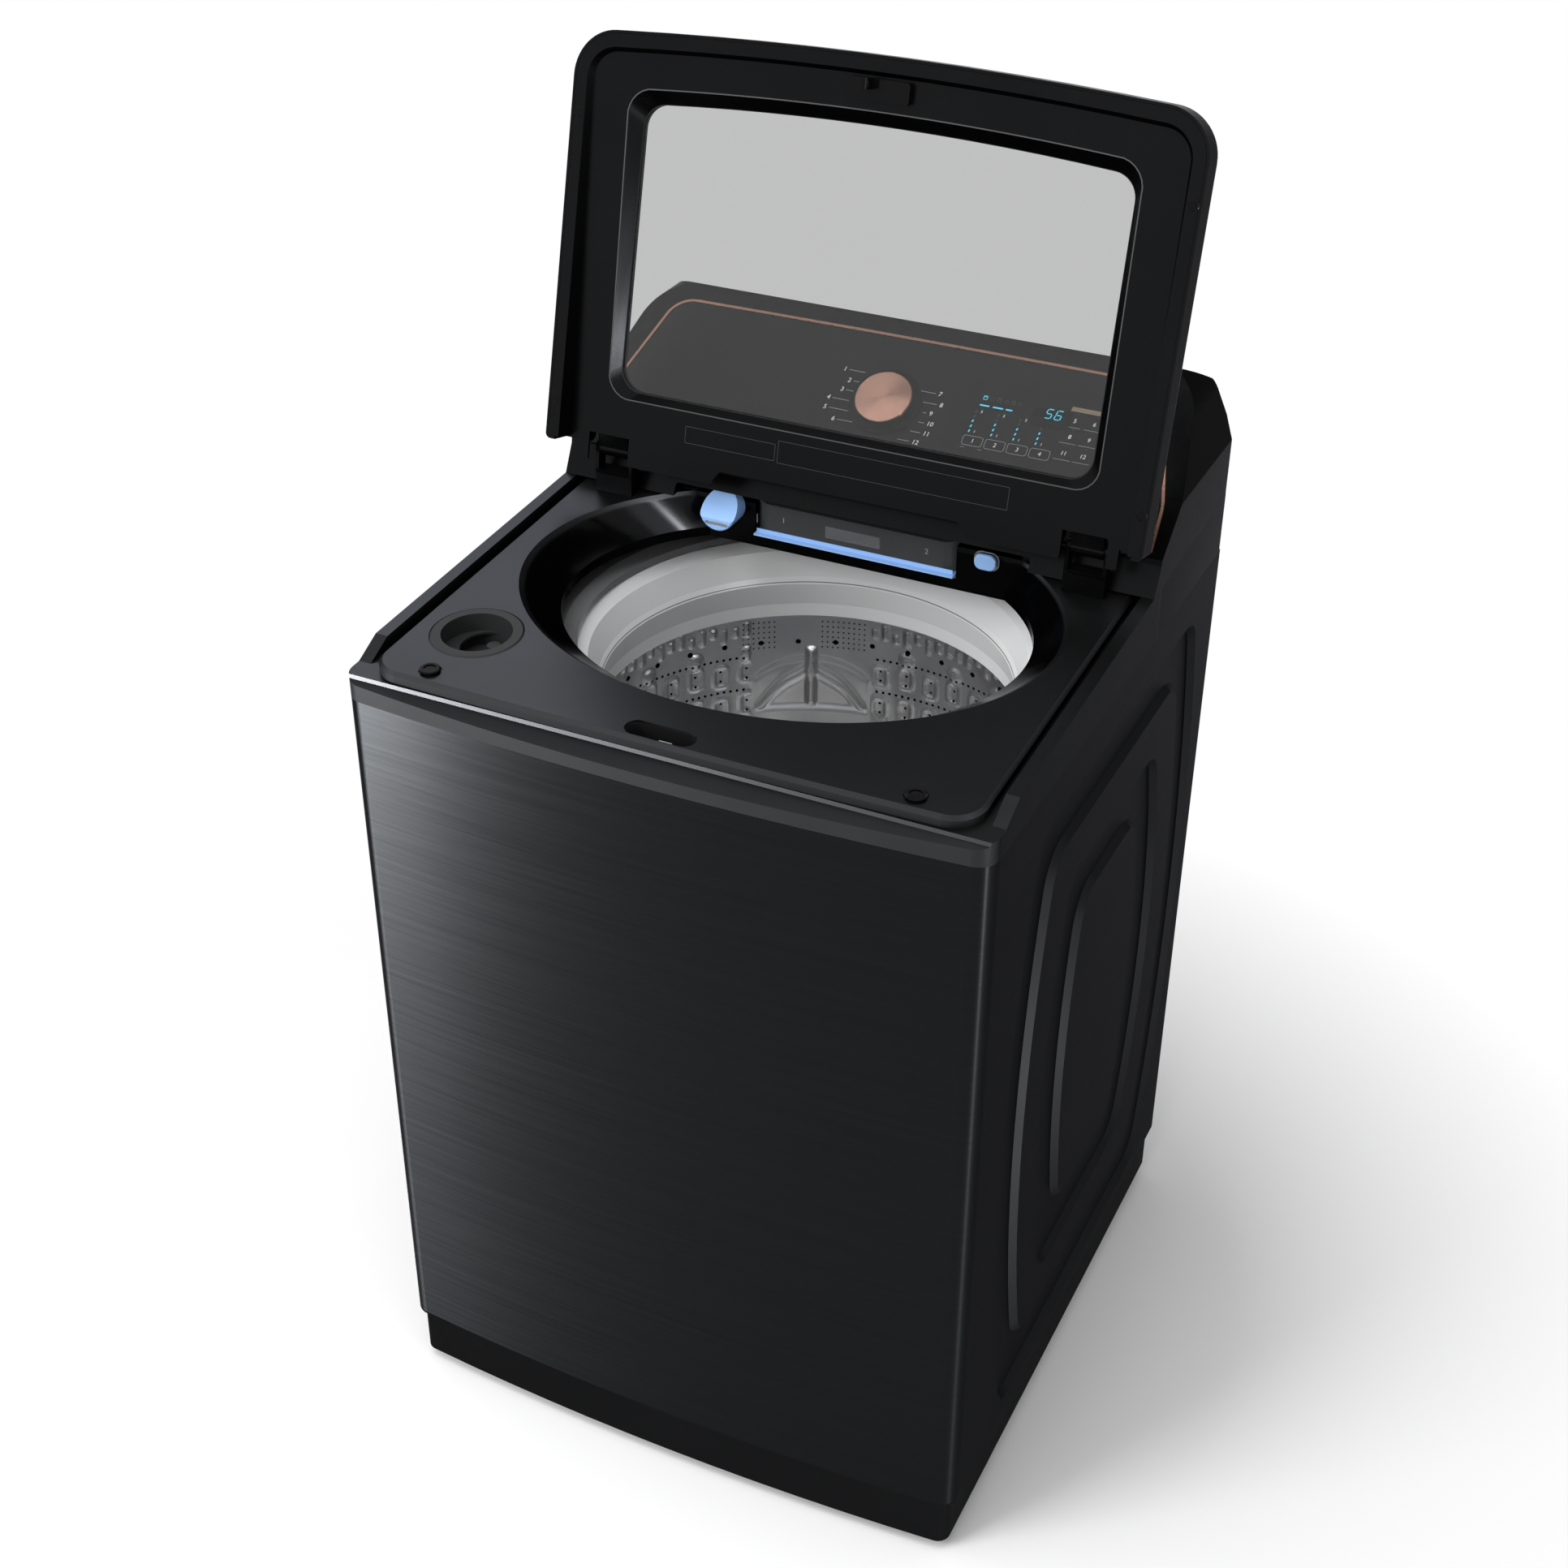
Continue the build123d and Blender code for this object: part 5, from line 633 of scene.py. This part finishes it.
def bowed_frame(sketch, half, low, high, radius, bow, line, thick, lift=0.0):
    """Slim frame whose upper side is bowed."""
    plate(sketch, (0, (low + high - bow) / 2), (2 * half, high - bow - low), radius, thick, lift, line)
    middle = (low + high) / 2
    long_edges = [edge for edge in sketch.edges
                  if abs(edge.verts[0].co.x - edge.verts[1].co.x) > half and edge.verts[0].co.y > middle]
    bmesh.ops.subdivide_edges(sketch, edges=long_edges, cuts=24, use_grid_fill=True)
    for point in sketch.verts:
        if point.co.y > middle:
            point.co.y += bow * max(0.0, 1 - (point.co.x / half) ** 2)


def dress_lid():
    """Slim bead round the window's bevel, lighter than the lid as painted highlight, blank label frames and screw
    caps.
    """
    bead = bmesh.new()
    bowed_frame(bead, 283.6, 54.4, 394.6, 27.0, 12.0, 1.3, 0.5)
    settle(bead, "window_bead", field_face, finishes["bead"], "lid")
    frames = bmesh.new()
    plate(frames, (-130.5, 30.2), (108.5, 18.4), 0.6, line=0.35, thick=0.1)
    plate(frames, (59.0, 31.8), (264.0, 24.4), 0.6, line=0.35, thick=0.1)
    settle(frames, "blank_label_frames", field_face, finishes["faint_line"], "lid")
    caps = bmesh.new()
    for side in (-1, 1):
        for along in (47.0, 350.0):
            disc(caps, (side * 338.0, along), 5.6, 5.0, 0.5)
            disc(caps, (side * 338.0, along), 3.2, 2.9, 0.4, 0.5, 6)
    settle(caps, "rim_screw_caps", lid_face, finishes["gloss"], "lid")


dress_lid()


# ---------------------------------------------------------------- pressed drum wall and drawer label
# angles in degrees, levels and sizes in millimetres; a rise stands inwards from the wall
wall_arc = 5.0  # wall in one degree
wall_rise, least_rise, most_rise = 1.2, 0.25, 8.5
plain_half = 76.0  # half of the stretch round the rib that has no pockets
column_turn, column_lift = 20.0 / 3, 4.0
pocket_rows, pocket_half_wide, pocket_half_tall = (710.0, 665.0), 8.6, 14.0
rim_rise, rim_share, pocket_sink, floor_share = 1.5, 0.16, 1.3, 0.75
dome_level, dome_half_wide, dome_half_tall, dome_rise = 739.0, 9.5, 10.0, 3.4
bead_turn, bead_level, bead_step, bead_half_wide, bead_rise = 2.857, 771.0, 3.0, 3.4, 2.6
bead_long, bead_short = 11.0, 7.0
wave_top, wave_drop, wave_half, wave_foot, wave_soft, wave_rise = 728.0, 23.0, 70.0, 659.0, 1.6, 2.0
ridge_top, ridge_bow, ridge_dip, dip_half, ridge_wide, ridge_rise = 712.0, 0.011, 6.0, 20.0, 6.5, 3.0
rib_top, rib_foot, rib_end, rib_half_wide, rib_rise = 744.0, 661.0, 7.0, 6.0, 5.5
skin_foot, skin_top, skin_thick, skin_gap = 600.0, 798.0, 0.3, 1.3
fade_top, fade_top_run, fade_foot, fade_foot_run = 797.0, 6.0, 599.0, 12.0
skin_levels = [skin_foot, 606.0, 612.0, 630.0, 650.0]
skin_levels += [654.0 + 2.0 * step for step in range(70)] + [795.0, skin_top]


def pocket_height(angle, level):
    """Rise of the pockets with their rims, the domes over every second column and the beads above."""
    column, pitch = divmod(angle, column_turn)
    across = (pitch - column_turn / 2) * wall_arc
    lifted = column_lift if int(column) % 2 else 0.0
    rise = wall_rise
    for row in pocket_rows:
        reach = ((across / pocket_half_wide) ** 4 + ((level - row - lifted) / pocket_half_tall) ** 4) ** 0.25
        rise += rim_rise * exp(-((reach - 1.0) / rim_share) ** 2)
        rise -= pocket_sink * exp(-(reach / floor_share) ** 4)
    if lifted:
        dome = 1.0 - (across / dome_half_wide) ** 2 - ((level - dome_level) / dome_half_tall) ** 2
        rise += dome_rise * max(0.0, dome) ** 0.5
    bead, beat = divmod(angle, bead_turn)
    width = (beat - bead_turn / 2) * wall_arc
    tall = bead_long if int(bead) % 2 else bead_short
    height = (level - bead_level + (int(bead) % 3) * bead_step) / tall
    swell = max(0.0, 1.0 - (width / bead_half_wide) ** 2) * max(0.0, 1.0 - height ** 2)
    return rise + bead_rise * swell ** 0.5


def wave_height(off, level):
    """Rise of the wave and its ridge, and of the upright rib in its middle."""
    edge = wave_top - wave_drop * (min(1.0, abs(off) / wave_half)) ** 2.2
    inside = 1.0 / (1.0 + exp(-(edge - level) / wave_soft)) / (1.0 + exp(-(level - wave_foot) / wave_soft))
    rise = wall_rise + wave_rise * inside / (1.0 + exp((abs(off) - wave_half) / wave_soft))
    dip = ridge_dip * (1.0 - cos(min(1.0, abs(off) / dip_half) * pi)) / 2
    ridge = ridge_top - ridge_bow * off * off - dip
    rise += ridge_rise * exp(-((level - ridge) / ridge_wide) ** 2) * inside
    end = 0.0
    if rib_foot < level < rib_top:
        end = min(1.0, (rib_top - level) / rib_end, (level - rib_foot) / rib_end)
    return rise + rib_rise * max(0.0, 1.0 - (off / rib_half_wide) ** 2) ** 0.5 * end ** 0.5


def press_height(angle, level):
    """How far the drum wall is pressed inwards at an angle and a level."""
    off = (angle - rib_angle) * wall_arc
    rise = pocket_height(angle, level) if abs(off) > plain_half else wave_height(off, level)
    rise = min(most_rise, max(least_rise, rise))
    rise *= min(1.0, max(0.0, (fade_top - level) / fade_top_run))
    return rise * min(1.0, (level - fade_foot) / fade_foot_run)


def press_drum():
    """Inner skin of the drum wall with its pressed pockets, domes, beads, rib and wave."""
    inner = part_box("drum_shell")[1][0] / mm - skin_gap
    sketch = bmesh.new()
    loop = [sketch.verts.new((inner - skin_thick, 0, level)) for level in skin_levels]
    loop += [sketch.verts.new((inner, 0, skin_top)), sketch.verts.new((inner, 0, skin_foot))]
    edges = [sketch.edges.new((loop[step - 1], loop[step])) for step in range(len(loop))]
    bmesh.ops.spin(sketch, geom=loop + edges, cent=(0, 0, 0), axis=(0, 0, 1), angle=2 * pi, steps=720,
                   use_merge=True)
    for point in sketch.verts:
        reach = (point.co.x ** 2 + point.co.y ** 2) ** 0.5
        if reach < inner - skin_thick / 3:
            angle = atan2(point.co.y, point.co.x) * 180 / pi
            share = (reach - press_height(angle % 360.0, point.co.z)) / reach
            point.co.x *= share
            point.co.y *= share
    skin = settle(sketch, "drum_pressed_skin", Matrix.Identity(4), finishes["drum"], "basket")
    for face in skin.data.polygons:
        face.use_smooth = True


label_centre, label_size, label_rise = (-2.0, 17.5), (66.0, 14.0), 0.3
label_rules, rule_ends = (14.2, 12.6), (-30.0, 26.0)
lip_tall, lip_thick, lip_ends = 4.4, 0.7, (-119.0, 117.5)
figure_along, figure_level, figure_tall = 86.0, 20.0, 6.5


def label_drawer():
    """Bare metal label, two plain figures and the upper part of the blue lip on the drawer front."""
    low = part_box("drawer_front")[0]
    face = place_on((0, low[1], low[2]), (0, 0, 1), (0, -1, 0))
    label, edge, marks, strip = bmesh.new(), bmesh.new(), bmesh.new(), bmesh.new()
    plate(label, label_centre, label_size, 0.8, label_rise)
    plate(edge, label_centre, label_size, 0.8, 0.15, label_rise, 0.5)
    for level in label_rules:
        stroke(edge, (rule_ends[0], level), (rule_ends[1], level), 0.3, 0.1, label_rise)
    stroke(strip, (lip_ends[0], lip_tall / 2), (lip_ends[1], lip_tall / 2), lip_tall, lip_thick)
    settle(strip, "drawer_lip_strip", face, finishes["blue"], "drawer")
    figures(marks, "1", (-figure_along, figure_level), figure_tall)
    figures(marks, "2", (figure_along, figure_level), figure_tall)
    settle(label, "drawer_label", face, finishes["label_metal"], "drawer")
    settle(edge, "drawer_label_edge", face, finishes["unlit"], "drawer")
    settle(marks, "drawer_figures", face, finishes["grey_ink"], "drawer")


press_drum()
label_drawer()


# ---------------------------------------------------------------- rear small parts
def dress_rear():
    """Washer-head screws and a bare rating plate on the back."""
    low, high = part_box("rear_panel")
    back = place_on((0, high[1], low[2]), (0, 0, 1), (0, 1, 0))
    wide, tall = (high[0] - low[0]) / mm, (high[2] - low[2]) / mm
    screws = bmesh.new()
    for side in (-1, 1):
        for share in (0.03, 0.27, 0.5, 0.73, 0.97):
            spot = (side * (wide / 2 - 9.0), tall * share)
            disc(screws, spot, 5.2, 5.0, 0.8)
            disc(screws, spot, 3.8, 3.3, 1.8, 0.8, 6)
    settle(screws, "rear_screws", back, finishes["plated"])
    plaque = bmesh.new()
    plate(plaque, (-190.0, tall - 60.0), (90.0, 52.0), 3.0, 0.4)
    settle(plaque, "rear_blank_plate", back, finishes["plaque"])


dress_rear()


# ---------------------------------------------------------------- floor, backdrop and lamps
def lay_stage():
    """Pale floor that keeps the shadow near the machine and runs into a white surround."""
    sketch = bmesh.new()
    bmesh.ops.create_circle(sketch, segments=96, radius=9.0, cap_ends=True)
    mesh = bpy.data.meshes.new("floor")
    sketch.to_mesh(mesh)
    sketch.free()
    floor = bpy.data.objects.new("floor", mesh)
    scene.collection.objects.link(floor)
    made, tree, main = finish("floor_white", (0.93, 0.93, 0.93), 0.9, gloss=0.0)
    start = node(tree, "TexCoord").outputs["Object"]
    reach = node(tree, "VectorMath", {0: start}, operation="LENGTH").outputs["Value"]
    rays = node(tree, "LightPath")
    seen = sum_of(tree, "MULTIPLY", spread_of(tree, reach, 0.55, 1.15),
                  sum_of(tree, "MAXIMUM", rays.outputs["Is Camera Ray"], rays.outputs["Is Transmission Ray"]))
    mirrored = sum_of(tree, "MULTIPLY", spread_of(tree, reach, 0.9, 2.2), rays.outputs["Is Glossy Ray"])
    white = node(tree, "Emission", {"Color": (1, 1, 1, 1), "Strength": 1.0}).outputs[0]
    share = sum_of(tree, "MAXIMUM", seen, mirrored)
    mixed = node(tree, "MixShader", {0: share, 1: main.outputs[0], 2: white}).outputs[0]
    tree.links.new(mixed, tree.nodes["Material Output"].inputs["Surface"])
    mesh.materials.append(made)
    world = bpy.data.worlds.new("surround")
    world.use_nodes = True
    scene.world = world
    sky = world.node_tree
    rays = node(sky, "LightPath")
    seen = sum_of(sky, "MAXIMUM", rays.outputs["Is Camera Ray"],
                  sum_of(sky, "MAXIMUM", rays.outputs["Is Glossy Ray"], rays.outputs["Is Transmission Ray"]))
    strength = spread_of(sky, seen, 0, 1, 0.45, 1.0)
    sky.links.new(strength, sky.nodes["Background"].inputs["Strength"])
    sky.nodes["Background"].inputs["Color"].default_value = (1, 1, 1, 1)


place_camera()
lay_stage()
soft_lamp("lamp_left", (-1.9, -3.0, 2.7), (0, 0, 0.9), (1.6, 1.6), 105, mirrored=False, through_glass=False)
soft_lamp("lamp_top", (-0.3, -1.1, 3.5), (0, 0, 0.9), (2.2, 2.2), 60, mirrored=False)
soft_lamp("lamp_right", (3.2, -0.9, 1.8), (0, 0, 0.9), (0.9, 2.4), 15)
soft_lamp("sheen_left", (-2.43, -2.51, 0.95), (-0.345, -0.356, 0.75), (0.72, 0.6), 700, glossy_only=True,
          shown_on=("cabinet_wrap", "top_cover"))
soft_lamp("lamp_drum", (0.15, -1.5, 2.9), (0, 0.1, 0.75), (1.1, 1.1), 80, mirrored=False,
          shown_on=("drum_shell", "drum_pressed_skin", "drum_base", "pulsator"))
soft_lamp("sheen_right", (2.75, -1.45, 1.1), (0.34, -0.34, 0.6), (0.25, 2.1), 110, glossy_only=True)
soft_lamp("sheen_rear", (-2.1, 2.3, 2.7), (-0.2, 0, 0.97), (1.3, 1.3), 75, glossy_only=True,
          shown_on=("top_cover",))
